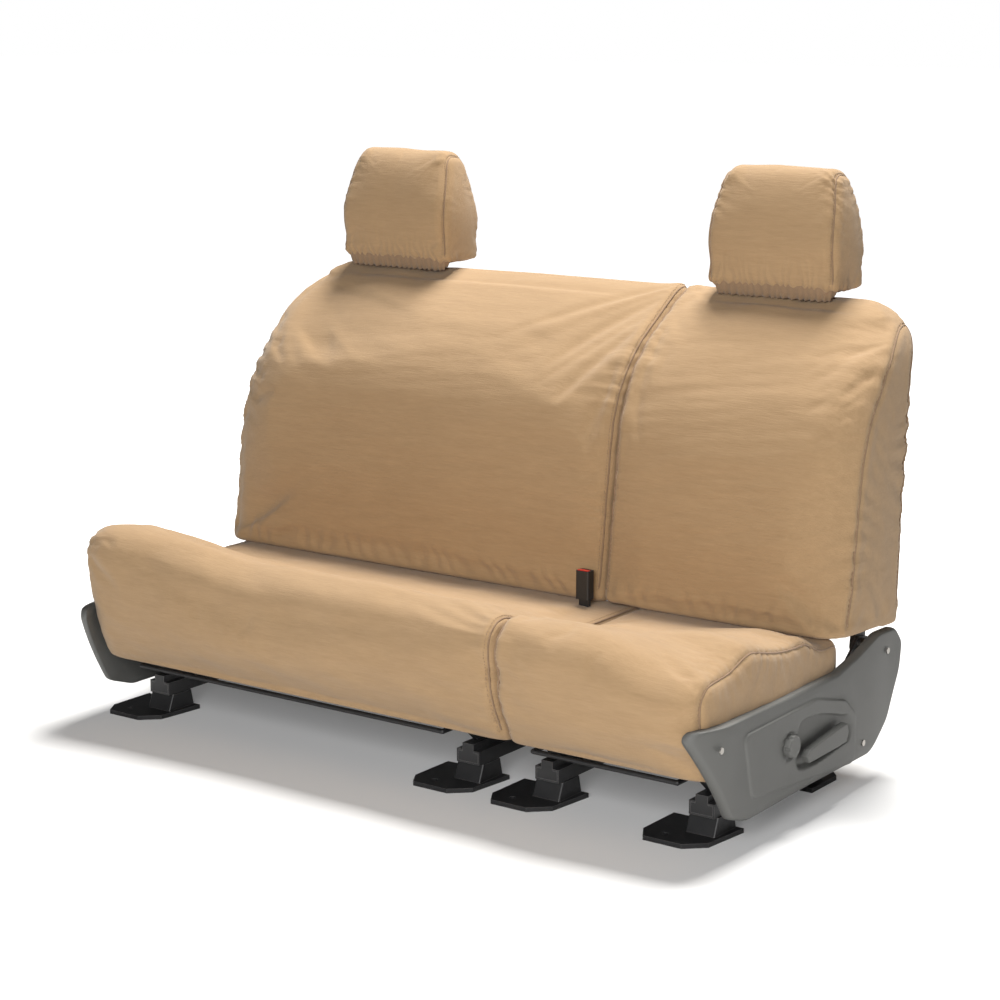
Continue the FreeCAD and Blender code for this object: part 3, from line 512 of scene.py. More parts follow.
def make_cushion_cover(name, left, right, outer_side, seed):
    """One seat cushion in its cover: creased at its seams, puckered at the nose by the split."""
    outline = slack(rounded_outline(CUSHION_SIDE, 9.0), 2.0, 122)
    outer, split = cushion_edges(outline, 56.0, 26.0), cushion_edges(outline, 20.0, 14.0)
    edges = (outer, split) if outer_side < 0 else (split, outer)
    rings = shaped_cushion(padded_rings(outline, left, right, *edges, 2.0, 12.0))
    outer_end, split_end = ("left", "right") if outer_side < 0 else ("right", "left")
    outer_seam = seam_ring(rings, outer_end, 0.62)
    split_seam = seam_ring(rings, split_end, 0.5)
    split_x = right if outer_side < 0 else left

    def under_back(points):
        """1 on the strip that the neighbour's backrest slides over, 0 elsewhere."""
        if outer_side > 0:
            return np.zeros(len(points))
        x, y, z = points.T
        return ease((x - 190) / 25) * ease((y + 150) / 60) * ease((z - 200) / 40)

    def cap(points):
        """Most that the cloth may swell, in millimetres."""
        from_split = np.abs(points[:, 0] - split_x)
        room = 3.0 + 7.0 * ease((from_split - 6) / 60)
        room *= (1 - 0.75 * ease((points[:, 1] + 60) / 80)) * (1 - 0.85 * under_back(points))
        return np.where(points[:, 2] < 130, 1.0, room)

    pucker_z = 246.0
    pucker = np.array([[split_x, -372.0, pucker_z]])

    def folds(points):
        """Height of seams, gathers and creases, in millimetres."""
        x, y, z = points.T
        to_outer, _ = nearest_on(points, outer_seam)
        to_split, _ = nearest_on(points, split_seam)
        front = ease((-270 - y) / 60) * window(z, 135, 330, 20)
        lifted = ease((z - 128) / 20)
        total = sewn_groove(to_outer, 2.6, 1.2) + sewn_groove(to_split, 2.0, 0.8)
        total += 1.6 * gathers(points, outer_seam, 34.0, 27.0, seed)
        total += 1.1 * gathers(points, split_seam, 26.0, 30.0, seed + 5)
        total += 1.7 * lumps(points * [1.0, 1.0, 1.6], 210.0, seed + 9)
        total += front * 1.1 * lumps(points * [0.45, 1.0, 1.0], 60.0, seed + 12)
        total += 0.5 * lumps(points * [0.5, 1.0, 1.0], 36.0, seed + 15)
        near = np.linalg.norm(points - pucker, axis=1)
        total -= 5.0 * np.exp(-(near / 22.0) ** 2)
        round_it = np.arctan2(z - pucker_z, np.abs(x - split_x) + 4.0)
        total += 2.4 * np.exp(-near / 60.0) * np.sin(5.0 * round_it + 1.0)
        hem_pull = np.exp(-((z - 128) / 9.0) ** 2) * ease((-250 - y) / 40)
        total += hem_pull * 1.6 * np.sin(2 * math.pi * (x + 9 * lumps(points, 70, seed + 20)) / 23.0)
        return total * lifted * (1 - 0.6 * ease((y + 20) / 60)) * (1 - 0.9 * under_back(points))

    body = "seat_" + name
    piece = stuffed_cover("cushion_cover_pad_" + name, body, rings, [outer_seam, split_seam], 8.5, cap, folds,
                          ("cushion_cover_" + name, "cushion_foam_" + name))
    sew(piece, "cushion", name, body, (("outer", outer_seam), ("split", split_seam)), 140, (left + right) / 2)


def back_edges(outline, size):
    """Roll radius along a backrest's outline: full over its height, and small at the top."""
    return size - max(size - 24.0, 0.0) * ease((outline[:, 1] - 700) / 90)


def shaped_back(points, outline):
    """Backrest with its top outer corners rounded, and its left end drawn in towards the top.

    Near a corner, with a and b the distances past the corner circle's centre towards the end and
    the top, both are scaled by max(a, b) / hypot(a, b), which turns the square corner into a
    quarter circle. A moved point keeps its share of the way from the front to the rear.
    """
    x, y, z = points[..., 0], points[..., 1], points[..., 2]
    high, radius = outline[:, 1].max(), 108.0
    a = np.clip(np.abs(x) - (BACK_END - radius), 0, None)
    b = np.clip(z - (high - radius), 0, None)
    scale = np.maximum(a, b) / np.maximum(np.hypot(a, b), 1e-6)
    scale = np.where((a > 0) & (b > 0), scale, 1.0)
    new_z = z - b * (1 - scale)
    front, rear = depths_at(outline, z)
    new_front, new_rear = depths_at(outline, new_z)
    share = np.clip((y - front) / np.maximum(rear - front, 1.0), 0, 1)
    new_y = np.where(new_z < z, new_front + share * (new_rear - new_front), y)
    new_x = x - np.sign(x) * a * (1 - scale)
    drawn = 58.0 * ease((new_z - 500) / 330) * np.clip((-380 - new_x) / 300, 0, 1)
    return np.stack([new_x + drawn, new_y, new_z], -1)


def make_back_cover(name, left, right, outer_side, seed):
    """One backrest in its cover. The narrow one has its foot raised near the split, more towards the rear,
    where it slides over its neighbour.
    """
    outline = slack(rounded_outline(BACK_SIDE, 9.0), 3.0, 282)
    outer, split = back_edges(outline, 58.0), back_edges(outline, 17.0)
    edges = (outer, split) if outer_side < 0 else (split, outer)
    rings = shaped_back(padded_rings(outline, left, right, *edges, 2.0, 12.0), outline)
    if outer_side > 0:
        behind = np.clip(rings[..., 1] - BACK_FRONT_FOOT, 0, BACK_DEPTH)
        over_neighbour = ease((300 - rings[..., 0]) / 20) * ease((310 - rings[..., 2]) / 25)
        rings[..., 2] += (behind * BACK_FOOT_FALL / BACK_DEPTH + 1.0) * over_neighbour
    outer_end, split_end = ("left", "right") if outer_side < 0 else ("right", "left")
    outer_seam, split_seam = seam_ring(rings, outer_end, 0.9), seam_ring(rings, split_end, 0.5)
    split_x = right if outer_side < 0 else left
    headrest_x = outer_side * HEADREST_FROM_MIDDLE

    def cap(points):
        """Most that the cloth may swell, in millimetres."""
        from_split = np.abs(points[:, 0] - split_x)
        room = 3.0 + 8.0 * ease((from_split - 6) / 60)
        room = np.where(points[:, 2] > 800, np.minimum(room, 4.0), room)
        return room * ease((points[:, 2] - 282) / 30)

    def folds(points):
        """Height of seams, gathers and creases, in millimetres."""
        x, y, z = points.T
        to_outer, _ = nearest_on(points, outer_seam)
        to_split, _ = nearest_on(points, split_seam)
        facing = ease((230 - y) / 80) + 0.4
        total = sewn_groove(to_outer, 2.6, 1.2) + sewn_groove(to_split, 2.0, 0.9)
        total += 2.2 * gathers(points, outer_seam, 48.0, 42.0, seed) * window(z, 380, 700, 80)
        total += 1.2 * gathers(points, split_seam, 40.0, 38.0, seed + 5)
        total += 1.3 * lumps(points * [0.8, 0.8, 1.3], 260.0, seed + 9)
        total += facing * 0.45 * lumps(points * [0.28, 0.9, 1.0], 50.0, seed + 12)
        total += facing * 0.2 * lumps(points * [0.22, 0.9, 1.0], 22.0, seed + 15)
        low = np.exp(-((z - 300) / 26.0) ** 2)
        total += low * 1.8 * np.sin(2 * math.pi * (x + 14 * lumps(points, 90, seed + 20)) / 36.0)
        from_post = np.abs(x - headrest_x) - POST_FROM_HEADREST
        total -= 3.0 * np.exp(-((z - 826) / 30.0) ** 2 - (from_post / 26.0) ** 2)
        return total * ease((z - 284) / 14)

    body = "back_" + name
    piece = stuffed_cover("back_cover_pad_" + name, body, rings, [outer_seam, split_seam], 9.0, cap, folds,
                          ("back_cover_" + name, "back_foam_" + name))
    sew(piece, "back", name, body, (("outer", outer_seam), ("split", split_seam)), 296, (left + right) / 2)


def make_headrest_cover(name, centre, seed):
    """One headrest in its cover, narrower at its top and foot than at its middle, with a gathered hem."""
    outline = slack(rounded_outline(HEADREST_SIDE, 6.0), 3.0, 832)
    edge = np.minimum(32.0, 12 + 20 * ease((outline[:, 1] - 838) / 40))
    rings = padded_rings(outline, centre - 133, centre + 133, edge, edge, 3.0, 9.0)

    def shaped(points):
        """Width scaled by 1 at the middle height, falling with the square of the height from it."""
        height = points[..., 2] - 915
        scale = 1 - np.where(height > 0, 0.165 * (height / 130) ** 2, 0.050 * (height / 80) ** 2)
        return np.stack([centre + (points[..., 0] - centre) * scale, points[..., 1], points[..., 2]], -1)

    rings = shaped(rings)
    seams = [seam_ring(rings, end, 0.5) for end in ("left", "right")]

    def cap(points):
        """Most that the cloth may swell, in millimetres."""
        return 2.0 + 7.0 * ease((points[:, 2] - 836) / 40)

    def folds(points):
        """Height of seams, gathers and creases, in millimetres."""
        x, _, z = points.T
        total = 0.8 * lumps(points, 90.0, seed + 9)
        for number, seam in enumerate(seams):
            distance, _ = nearest_on(points, seam)
            total = total + sewn_groove(distance, 2.4, 1.0)
            total += 1.3 * gathers(points, seam, 22.0, 24.0, seed + number)
        foot = np.exp(-(z - 832) / 24.0)
        total += foot * 2.2 * np.sin(2 * math.pi * (x + 5 * lumps(points, 40, seed + 20)) / 15.0)
        return total

    body = "headrest_" + name
    piece = stuffed_cover("headrest_cover_pad_" + name, body, rings, seams, 5.0, cap, folds,
                          ("headrest_cover_" + name, "headrest_foam_" + name))
    sew(piece, "headrest", name, body, tuple(zip(("left", "right"), seams)), 842, centre, beside=6.0,
        cord=1.5, pitch=4.5, length=2.8)
    gathered_hem("headrest_hem_" + name, body, centre, seed)


def gathered_hem(name, body, centre, seed):
    """Elastic hem under a headrest: a rounded rectangle seen from above, carried down as a thin wall.

    Going down by v the wall draws in by 9 v^2 and ripples by 2.0 v sin of the place along the hem.
    Its lower edge hangs lowest in front.
    """
    step = 3.0
    plan = rounded_outline([(centre - 125, 268, 26), (centre + 125, 268, 26), (centre + 125, 378, 30),
                            (centre - 125, 378, 30)], step)
    normal = inward(plan)
    along = np.arange(len(plan)) * step
    ripple = np.sin(2 * math.pi * (along + 4 * lumps(np.column_stack([plan, along * 0]), 60, seed)) / 13.0)
    rows = []
    for wall, order in ((0.0, (0, 0.25, 0.5, 0.75, 1.0)), (2.2, (1.0, 0.75, 0.5, 0.25, 0))):
        for v in order:
            flat = plan + normal * (wall + 9 * v * v + 2.0 * v * ripple)[:, None]
            drop = 29.0 - 17.0 * ease((plan[:, 1] - 272) / 30)
            rows.append(np.column_stack([flat, 846 - drop * v + 1.2 * v * ripple]))
    rows.append(rows[0])
    hem = new_piece(name, np.array(rows), grid_faces(len(rows), len(plan), True))
    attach(hem, body)
    HEM_PIECES.append(hem)


make_cushion_cover("60", -CUSHION_END, CUSHION_SPLIT[0], outer_side=-1, seed=11)
make_cushion_cover("40", CUSHION_SPLIT[1], CUSHION_END, outer_side=1, seed=41)
make_back_cover("60", -BACK_END, BACK_SPLIT[0], outer_side=-1, seed=71)
make_back_cover("40", BACK_SPLIT[1], BACK_END, outer_side=1, seed=101)
make_headrest_cover("60", -HEADREST_FROM_MIDDLE, seed=131)
make_headrest_cover("40", HEADREST_FROM_MIDDLE, seed=151)


# ---------------------------------------------------------------- side shields
SHIELD_SIDE = [(-387, 224, 14), (60, 224, 60), (128, 238, 40), (206, 262, 60), (276, 258, 30), (304, 228, 24),
               (297, 180, 80), (253, 98, 60), (186, 51, 34), (-238, 47, 60), (-292, 65, 26)]
PANEL_SIDE = [(-262, 197, 14), (-26, 201, 30), (78, 174, 30), (114, 142, 16), (117, 54, 14), (-234, 86, 18)]
SHIELD_MIDDLE = np.array([-30.0, 140.0])
LEVER_PLACE, KNOB_PLACE = np.array([1.0, 119.0]), np.array([-114.0, 143.0])
LEVER_PIVOT, LEVER_SWING = np.array([55.0, 122.0]), 18.0
LEVER_LEVEL, LEVER_RISE = 0.995, 0.09  # the lever's direction at rest
RECESS_HALF_LENGTH, RECESS_HALF_HEIGHT, RECESS_DEPTH = 78, 27, 12.0
KNOB_REACH, KNOB_DEPTH, FACE_FROM = 25.5, 4.0, 686


def reach_round(outline, middle, count):
    """Distance of an outline from the middle point in each of count equally spaced directions."""
    away = outline - middle
    angle = np.arctan2(away[:, 1], away[:, 0])
    order = np.argsort(angle)
    directions = np.linspace(-math.pi, math.pi, count, endpoint=False)
    return np.interp(directions, angle[order], np.linalg.norm(away, axis=1)[order], period=2 * math.pi)


def lever_sweep(y, z):
    """How far inside the lever's sweep a place is: the most over all swings, 0 outside.

    At one swing the place is turned back about the pivot, and the measure is 1.25 less
    sqrt(u^2 + v^4), with u and v the places along and over the lever by its half sizes.
    """
    most = 0.0 * y
    back, up = y - LEVER_PIVOT[0], z - LEVER_PIVOT[1]
    for swing in np.radians(np.linspace(0, LEVER_SWING, 9)):
        rest_y = LEVER_PIVOT[0] + back * math.cos(swing) - up * math.sin(swing) - LEVER_PLACE[0]
        rest_z = LEVER_PIVOT[1] + back * math.sin(swing) + up * math.cos(swing) - LEVER_PLACE[1]
        along = (rest_y * LEVER_LEVEL + rest_z * LEVER_RISE) / RECESS_HALF_LENGTH
        over = (rest_z * LEVER_LEVEL - rest_y * LEVER_RISE - 3) / RECESS_HALF_HEIGHT
        most = np.maximum(most, np.clip(1.25 - np.sqrt(along ** 2 + over ** 4), 0, 1))
    return most


def make_shield_cover(name, side):
    """Moulded side shield: rings from its rim to its middle, standing out over a raised inner panel.

    Over the rim a ring moves in by r (1 - cos a) and out by r sin a. The nose leans inward with the
    square of the distance past its start. The face is sunk wherever the lever passes on its way up.
    """
    count, radius = 420, 9.0
    rim = reach_round(rounded_outline(SHIELD_SIDE, 2.0), SHIELD_MIDDLE, count)
    panel = reach_round(rounded_outline(PANEL_SIDE, 2.0), SHIELD_MIDDLE, count)
    rows = [(rim * part, 673.0) for part in (0.02, 0.5, 0.9)] + [(rim - 2.0, 671.0), (rim, 672.5)]
    for a in np.linspace(0, math.pi / 2, 7):
        rows.append((rim - radius * (1 - math.cos(a)), 680.0 + radius * math.sin(a)))
    inner_rim = rim - radius
    step_foot, step_top = panel + 3.0, panel - 2.5
    for t in np.linspace(0, 1, 14)[1:]:
        rows.append((inner_rim + (step_foot - inner_rim) * t, 689.0 + 1.5 * math.sin(math.pi * t / 2)))
    for t in np.linspace(0, 1, 5)[1:]:
        rows.append((step_foot + (step_top - step_foot) * t, 690.5 + 3.6 * ease(t)))
    for t in np.linspace(0, 1, 26)[1:]:
        rows.append((step_top * (1 - 0.985 * t), 694.1 + 0.8 * t))
    directions = np.linspace(-math.pi, math.pi, count, endpoint=False)
    circle = np.stack([np.cos(directions), np.sin(directions)], 1)
    flat = np.array([SHIELD_MIDDLE + circle * reach[:, None] for reach, _ in rows])
    y, z = flat[..., 0], flat[..., 1]
    out = np.array([np.full(count, height) for _, height in rows])
    out = out - 34.0 * np.clip((-292 - y) / 95, 0, 1) ** 2 - 7.0 * ease((70 - z) / 40)
    out = out - 4.0 * ease((y - 180) / 100)
    out = np.where(out > FACE_FROM, out - RECESS_DEPTH * ease(lever_sweep(y, z) / 0.25), out)
    if side > 0:
        from_knob = np.hypot(y - KNOB_PLACE[0], z - KNOB_PLACE[1])
        out = np.where(out > FACE_FROM, out - KNOB_DEPTH * ease((KNOB_REACH - from_knob) / 4), out)
    points = np.stack([side * out, y, z], -1)
    piece = new_piece("side_shield_shell_" + name, points, grid_faces(len(rows), count, True))
    reworked(piece.data, lambda work: bmesh.ops.holes_fill(
        work, edges=[edge for edge in work.edges if edge.is_boundary], sides=0))
    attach(piece, "seat_" + name)
    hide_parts("side_shield_" + name)
    return piece


SHIELDS = [make_shield_cover("60", -1), make_shield_cover("40", 1)]


# ---------------------------------------------------------------- materials
def new_group(name, inputs, outputs):
    """Node group with the given sockets: a name and its kind, with a starting value for each input."""
    tree = bpy.data.node_groups.new(name, "ShaderNodeTree")
    for label, kind, value in inputs:
        socket = tree.interface.new_socket(label, in_out="INPUT", socket_type="NodeSocket" + kind)
        if value is not None:
            socket.default_value = value
    for label, kind in outputs:
        tree.interface.new_socket(label, in_out="OUTPUT", socket_type="NodeSocket" + kind)
    return tree, tree.nodes.new("NodeGroupInput"), tree.nodes.new("NodeGroupOutput")


def maths(tree, operation, first, second=None, clamp=False):
    """One math node; its inputs are sockets or numbers."""
    node = tree.nodes.new("ShaderNodeMath")
    node.operation, node.use_clamp = operation, clamp
    for socket, value in zip(node.inputs, (first, second)):
        if value is None:
            continue
        if isinstance(value, (int, float)):
            socket.default_value = value
        else:
            tree.links.new(value, socket)
    return node.outputs[0]


def noise(tree, place, scale, detail=3.0, rough=0.55):
    """Noise at the place; the scale is a socket or a number."""
    node = tree.nodes.new("ShaderNodeTexNoise")
    node.inputs["Detail"].default_value, node.inputs["Roughness"].default_value = detail, rough
    tree.links.new(place, node.inputs["Vector"])
    if isinstance(scale, (int, float)):
        node.inputs["Scale"].default_value = scale
    else:
        tree.links.new(scale, node.inputs["Scale"])
    return node.outputs["Fac"]


def stretched(tree, place, factors):
    """The place with its three parts multiplied by the factors."""
    node = tree.nodes.new("ShaderNodeVectorMath")
    node.operation = "MULTIPLY"
    tree.links.new(place, node.inputs[0])
    node.inputs[1].default_value = factors
    return node.outputs[0]


def mixed(tree, part, first, second):
    """Colour mix by a socket; the colours are sockets or triples."""
    node = tree.nodes.new("ShaderNodeMix")
    node.data_type = "RGBA"
    tree.links.new(part, node.inputs["Factor"])
    for socket, value in ((node.inputs[6], first), (node.inputs[7], second)):
        if isinstance(value, tuple):
            socket.default_value = (*value, 1.0)
        else:
            tree.links.new(value, socket)
    return node.outputs[2]


def make_weave_group():
    """Plain weave: the product of a wave across the seat and a wave of height plus depth, with slubs.

    Slubs are noise stretched across the seat. Height is for a bump, Tone says how light a thread is.
    """
    tree, start, end = new_group(
        "plain_weave", [("Place", "Vector", None), ("Threads", "Float", 2600.0), ("Slub", "Float", 1.0)],
        [("Height", "Float"), ("Tone", "Float")])
    place, threads, slub = start.outputs[:3]
    apart = tree.nodes.new("ShaderNodeSeparateXYZ")
    tree.links.new(place, apart.inputs[0])
    over = maths(tree, "ADD", apart.outputs["Y"], apart.outputs["Z"])
    warp = maths(tree, "SINE", maths(tree, "MULTIPLY", apart.outputs["X"], threads))
    weft = maths(tree, "SINE", maths(tree, "MULTIPLY", over, maths(tree, "MULTIPLY", threads, 0.8)))
    cross = maths(tree, "ADD", maths(tree, "MULTIPLY", maths(tree, "MULTIPLY", warp, weft), 0.5), 0.5)
    fine = noise(tree, stretched(tree, place, (45.0, 420.0, 420.0)), 1.0, 2.0)
    broad = noise(tree, stretched(tree, place, (14.0, 120.0, 120.0)), 1.0, 3.0)
    slubs = maths(tree, "MULTIPLY", maths(tree, "ADD", fine, broad), slub)
    height = maths(tree, "ADD", maths(tree, "MULTIPLY", cross, 0.5), slubs)
    tree.links.new(height, end.inputs["Height"])
    tone = maths(tree, "ADD", maths(tree, "MULTIPLY", cross, 0.25), maths(tree, "MULTIPLY", slubs, 0.5))
    tree.links.new(tone, end.inputs["Tone"])
    return tree


def make_handling_group():
    """Handling marks: two sizes of noise, the coarse one masking the fine one."""
    tree, start, end = new_group("handling_marks", [("Place", "Vector", None), ("Size", "Float", 6.0)],
                                 [("Mask", "Float")])
    coarse = noise(tree, start.outputs["Place"], start.outputs["Size"], 4.0, 0.6)
    fine = noise(tree, start.outputs["Place"], maths(tree, "MULTIPLY", start.outputs["Size"], 9.0), 4.0, 0.6)
    mask = maths(tree, "MULTIPLY", maths(tree, "SUBTRACT", coarse, 0.35, True), fine, True)
    tree.links.new(maths(tree, "MULTIPLY", mask, 3.0, True), end.inputs["Mask"])
    return tree


def make_grain_group():
    """Moulded or cast skin: rounded cells of the given scale, softened by noise."""
    tree, start, end = new_group("moulded_grain", [("Place", "Vector", None), ("Scale", "Float", 900.0)],
                                 [("Height", "Float")])
    cells = tree.nodes.new("ShaderNodeTexVoronoi")
    tree.links.new(start.outputs["Place"], cells.inputs["Vector"])
    tree.links.new(start.outputs["Scale"], cells.inputs["Scale"])
    rough = noise(tree, start.outputs["Place"], maths(tree, "MULTIPLY", start.outputs["Scale"], 0.6), 3.0)
    tree.links.new(maths(tree, "ADD", cells.outputs["Distance"], maths(tree, "MULTIPLY", rough, 0.6)),
                   end.inputs["Height"])
    return tree


def make_wear_group():
    """Edge wear: where a rounded normal differs from the true one, broken up by noise."""
    tree, start, end = new_group("edge_wear", [("Place", "Vector", None), ("Width", "Float", 0.0015),
                                               ("Amount", "Float", 1.0)], [("Mask", "Float")])
    bevel = tree.nodes.new("ShaderNodeBevel")
    bevel.samples = 4
    tree.links.new(start.outputs["Width"], bevel.inputs["Radius"])
    true = tree.nodes.new("ShaderNodeNewGeometry")
    dot = tree.nodes.new("ShaderNodeVectorMath")
    dot.operation = "DOT_PRODUCT"
    tree.links.new(bevel.outputs["Normal"], dot.inputs[0])
    tree.links.new(true.outputs["Normal"], dot.inputs[1])
    edge = maths(tree, "MULTIPLY", maths(tree, "SUBTRACT", 0.985, dot.outputs["Value"], True), 9.0, True)
    broken = maths(tree, "MULTIPLY", edge, noise(tree, start.outputs["Place"], 220.0, 4.0, 0.65), True)
    tree.links.new(maths(tree, "MULTIPLY", broken, start.outputs["Amount"], True), end.inputs["Mask"])
    return tree


WEAVE, HANDLING = make_weave_group(), make_handling_group()
GRAIN, WEAR = make_grain_group(), make_wear_group()


class Finish:
    """A new material with its shader, its object coordinates and short ways to add nodes."""

    def __init__(self, name, colour, roughness, metallic=0.0, **plain):
        self.material = bpy.data.materials.new(name)
        self.material.use_nodes = True
        self.tree = self.material.node_tree
        self.shader = self.tree.nodes["Principled BSDF"]
        self.place = self.tree.nodes.new("ShaderNodeTexCoord").outputs["Object"]
        self.shader.inputs["Base Color"].default_value = (*colour, 1.0)
        self.shader.inputs["Roughness"].default_value = roughness
        self.shader.inputs["Metallic"].default_value = metallic
        for label, value in plain.items():
            self.shader.inputs[label.replace("_", " ")].default_value = value

    def effect(self, group, **values):
        """Outputs of a shared effect at this material's places."""
        node = self.tree.nodes.new("ShaderNodeGroup")
        node.node_tree = group
        self.tree.links.new(self.place, node.inputs["Place"])
        for label, value in values.items():
            node.inputs[label].default_value = value
        return node.outputs

    def colour(self, socket):
        """Take the colour from a socket."""
        self.tree.links.new(socket, self.shader.inputs["Base Color"])

    def roughness(self, socket, low, high):
        """Take the roughness from a socket, 0 to 1 becoming low to high."""
        level = self.tree.nodes.new("ShaderNodeMapRange")
        level.inputs["To Min"].default_value, level.inputs["To Max"].default_value = low, high
        self.tree.links.new(socket, level.inputs["Value"])
        self.tree.links.new(level.outputs["Result"], self.shader.inputs["Roughness"])

    def bump(self, socket, distance):
        """Raise the surface by a socket times a distance in metres."""
        node = self.tree.nodes.new("ShaderNodeBump")
        node.inputs["Distance"].default_value, node.inputs["Strength"].default_value = distance, 1.0
        self.tree.links.new(socket, node.inputs["Height"])
        self.tree.links.new(node.outputs["Normal"], self.shader.inputs["Normal"])


def woven_finish(name, dark, light, slub, depth):
    """Woven cloth: light and dark threads, uneven dye and slight handling marks."""
    finish = Finish(name, light, 0.88, Sheen_Weight=0.18, Sheen_Roughness=0.55, Specular_IOR_Level=0.18)
    weave = finish.effect(WEAVE, Slub=slub)
    marks = finish.effect(HANDLING, Size=3.5)["Mask"]
    threads = mixed(finish.tree, weave["Tone"], dark, light)
    worn = maths(finish.tree, "MULTIPLY", marks, 0.22)
    finish.colour(mixed(finish.tree, worn, threads, tuple(0.78 * part for part in dark)))
    finish.roughness(weave["Tone"], 0.82, 0.95)
    finish.bump(weave["Height"], depth)
    return finish.material


def painted_finish(name, colour, bare, roughness, wear):
    """Painted metal: bare metal shows through at worn edges, and the paint is slightly orange-peeled."""
    finish = Finish(name, colour, roughness)
    edge = finish.effect(WEAR, Amount=wear)["Mask"]
    marks = finish.effect(HANDLING, Size=8.0)["Mask"]
    dusty = mixed(finish.tree, maths(finish.tree, "MULTIPLY", marks, 0.35), colour,
                  tuple(0.7 * part + 0.05 for part in colour))
    finish.colour(mixed(finish.tree, edge, dusty, bare))
    finish.tree.links.new(edge, finish.shader.inputs["Metallic"])
    finish.roughness(marks, roughness, roughness + 0.18)
    finish.bump(noise(finish.tree, finish.place, 420.0, 2.0), 0.00012)
    return finish.material


def metal_finish(name, colour, roughness, drawn):
    """Bare or plated metal with fine marks drawn along one direction."""
    finish = Finish(name, colour, roughness, 1.0)
    lines = noise(finish.tree, stretched(finish.tree, finish.place, drawn), 1.0, 4.0)
    finish.colour(mixed(finish.tree, lines, tuple(0.82 * part for part in colour), colour))
    finish.roughness(lines, 0.75 * roughness, 1.35 * roughness)
    finish.bump(lines, 0.00005)
    return finish.material


def moulded_finish(name, colour, roughness, cell, depth):
    """Moulded plastic: a grained skin with a little dust in it and paler rubbed edges."""
    finish = Finish(name, colour, roughness)
    grain = finish.effect(GRAIN, Scale=cell)["Height"]
    marks = finish.effect(HANDLING, Size=7.0)["Mask"]
    edge = finish.effect(WEAR, Amount=0.5)["Mask"]
    dusty = mixed(finish.tree, maths(finish.tree, "MULTIPLY", marks, 0.3), colour,
                  tuple(0.85 * part + 0.04 for part in colour))
    finish.colour(mixed(finish.tree, edge, dusty, tuple(1.3 * part + 0.02 for part in colour)))
    finish.roughness(marks, roughness, roughness + 0.15)
    finish.bump(grain, depth)
    return finish.material


def foam_finish():
    """Open foam: pale, with pores of two sizes."""
    finish = Finish("seat_foam", (0.62, 0.55, 0.36), 0.95)
    pores = finish.effect(GRAIN, Scale=700.0)["Height"]
    finish.colour(mixed(finish.tree, pores, (0.46, 0.40, 0.24), (0.66, 0.59, 0.40)))
    finish.bump(pores, 0.0004)
    return finish.material


WHITE_FROM, WHITE_AT = 0.9, 2.6  # metres from the middle of the floor
GLOW_NEAR, GLOW_FAR = 0.12, 1.0


def floor_finish():
    """White sweep: lit from above, and topped up to white for the eye only, less so near the seat."""
    finish = Finish("studio_floor", (0.72, 0.72, 0.72), 0.9, Specular_IOR_Level=0.05)
    finish.shader.inputs["Emission Color"].default_value = (1.0, 1.0, 1.0, 1.0)
    path = finish.tree.nodes.new("ShaderNodeLightPath")
    length = finish.tree.nodes.new("ShaderNodeVectorMath")
    length.operation = "LENGTH"
    finish.tree.links.new(finish.place, length.inputs[0])
    white = finish.tree.nodes.new("ShaderNodeMapRange")
    white.inputs["From Min"].default_value, white.inputs["From Max"].default_value = WHITE_FROM, WHITE_AT
    white.inputs["To Min"].default_value, white.inputs["To Max"].default_value = GLOW_NEAR, GLOW_FAR
    finish.tree.links.new(length.outputs["Value"], white.inputs["Value"])
    level = maths(finish.tree, "MULTIPLY", path.outputs["Is Camera Ray"], white.outputs["Result"])
    finish.tree.links.new(level, finish.shader.inputs["Emission Strength"])
    return finish.material


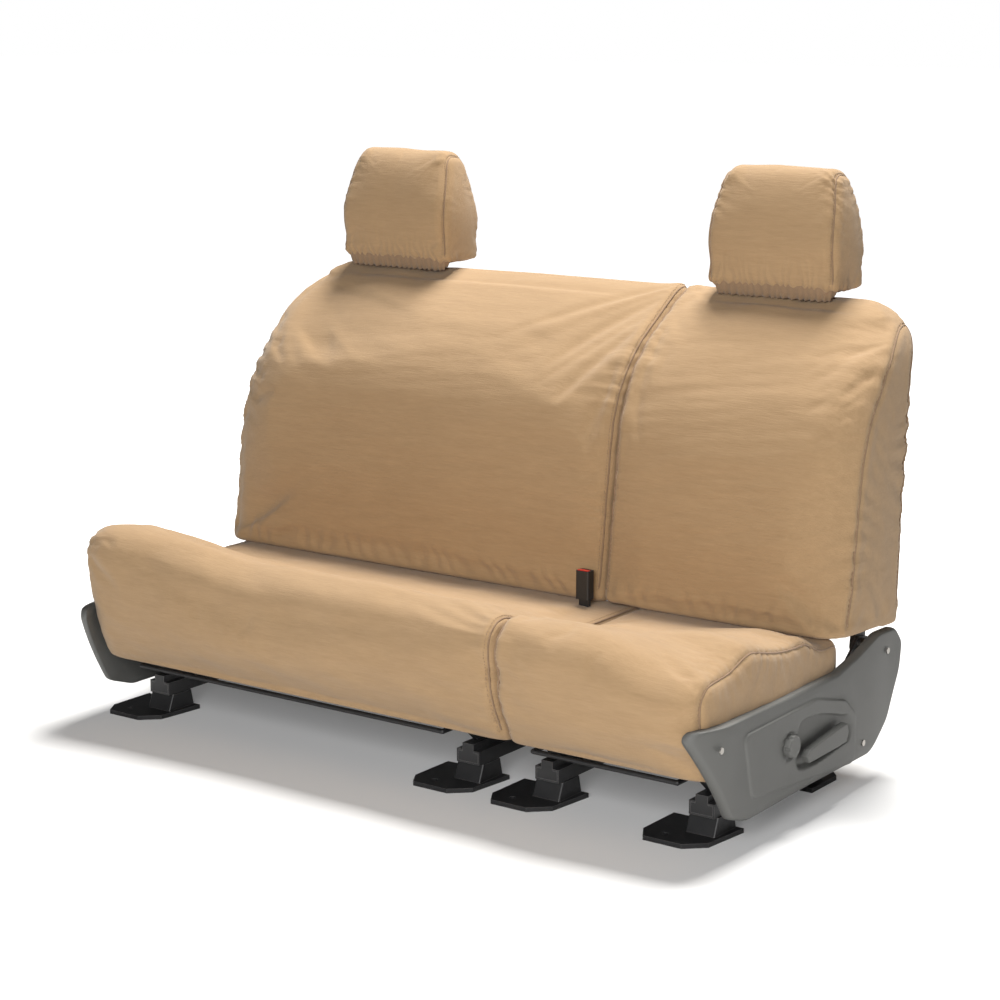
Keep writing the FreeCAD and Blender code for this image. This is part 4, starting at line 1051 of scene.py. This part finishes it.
TAN_DARK, TAN_LIGHT = (0.285, 0.178, 0.088), (0.46, 0.307, 0.168)
COVER = woven_finish("tan_cover_cloth", TAN_DARK, TAN_LIGHT, 0.8, 0.0005)
HEM = woven_finish("tan_hem_tape", (0.20, 0.125, 0.07), (0.36, 0.24, 0.145), 0.5, 0.0004)
THREAD = woven_finish("tan_thread", (0.24, 0.155, 0.09), (0.42, 0.29, 0.18), 0.2, 0.0001)
RUBBED = (0.36, 0.35, 0.34)
FINISHES = {
    "foam": foam_finish(),
    "cover_fabric": COVER,
    "rail_steel": painted_finish("blackened_rail_steel", (0.026, 0.026, 0.027), RUBBED, 0.36, 0.8),
    "foot_black": painted_finish("black_foot_paint", (0.013, 0.013, 0.014), (0.32, 0.31, 0.30), 0.42, 0.8),
    "frame_paint": painted_finish("dark_frame_paint", (0.022, 0.022, 0.024), (0.34, 0.33, 0.32), 0.4, 0.5),
    "wire_steel": metal_finish("spring_wire", (0.42, 0.40, 0.37), 0.3, (900.0, 25.0, 900.0)),
    "post_chrome": metal_finish("chrome_post", (0.78, 0.79, 0.80), 0.09, (700.0, 700.0, 30.0)),
    "black_plastic": moulded_finish("black_plastic", (0.014, 0.014, 0.015), 0.42, 1200.0, 0.00012),
    "shield_plastic": moulded_finish("grey_shield_plastic", (0.112, 0.112, 0.105), 0.5, 1000.0, 0.00022),
    "button_red": moulded_finish("red_button_plastic", (0.55, 0.012, 0.010), 0.25, 1500.0, 0.00004),
}


def dress(piece, material):
    """Give a piece one material, whatever it had."""
    piece.data.materials.clear()
    piece.data.materials.append(material)


for node_name, node in frame["nodes"].items():
    for place_in_list in range(len(node.material_slots)):
        node.material_slots[place_in_list].material = FINISHES[SLOT_OF[node_name]]
for fabric_piece in FABRIC_PIECES:
    dress(fabric_piece, COVER)
for thread_piece in THREAD_PIECES:
    dress(thread_piece, THREAD)
for hem_piece in HEM_PIECES:
    dress(hem_piece, HEM)
for shield in SHIELDS:
    dress(shield, FINISHES["shield_plastic"])


def make_floor():
    """Huge pale floor, as one quad under the feet."""
    reach, level = 40000.0, -0.3
    ways = ((-1, -1), (1, -1), (1, 1), (-1, 1))
    corners = np.array([[reach * x, reach * y, level] for x, y in ways])
    floor = new_piece("studio_floor", corners, [(0, 1, 2, 3)], smooth=False)
    dress(floor, floor_finish())


make_floor()
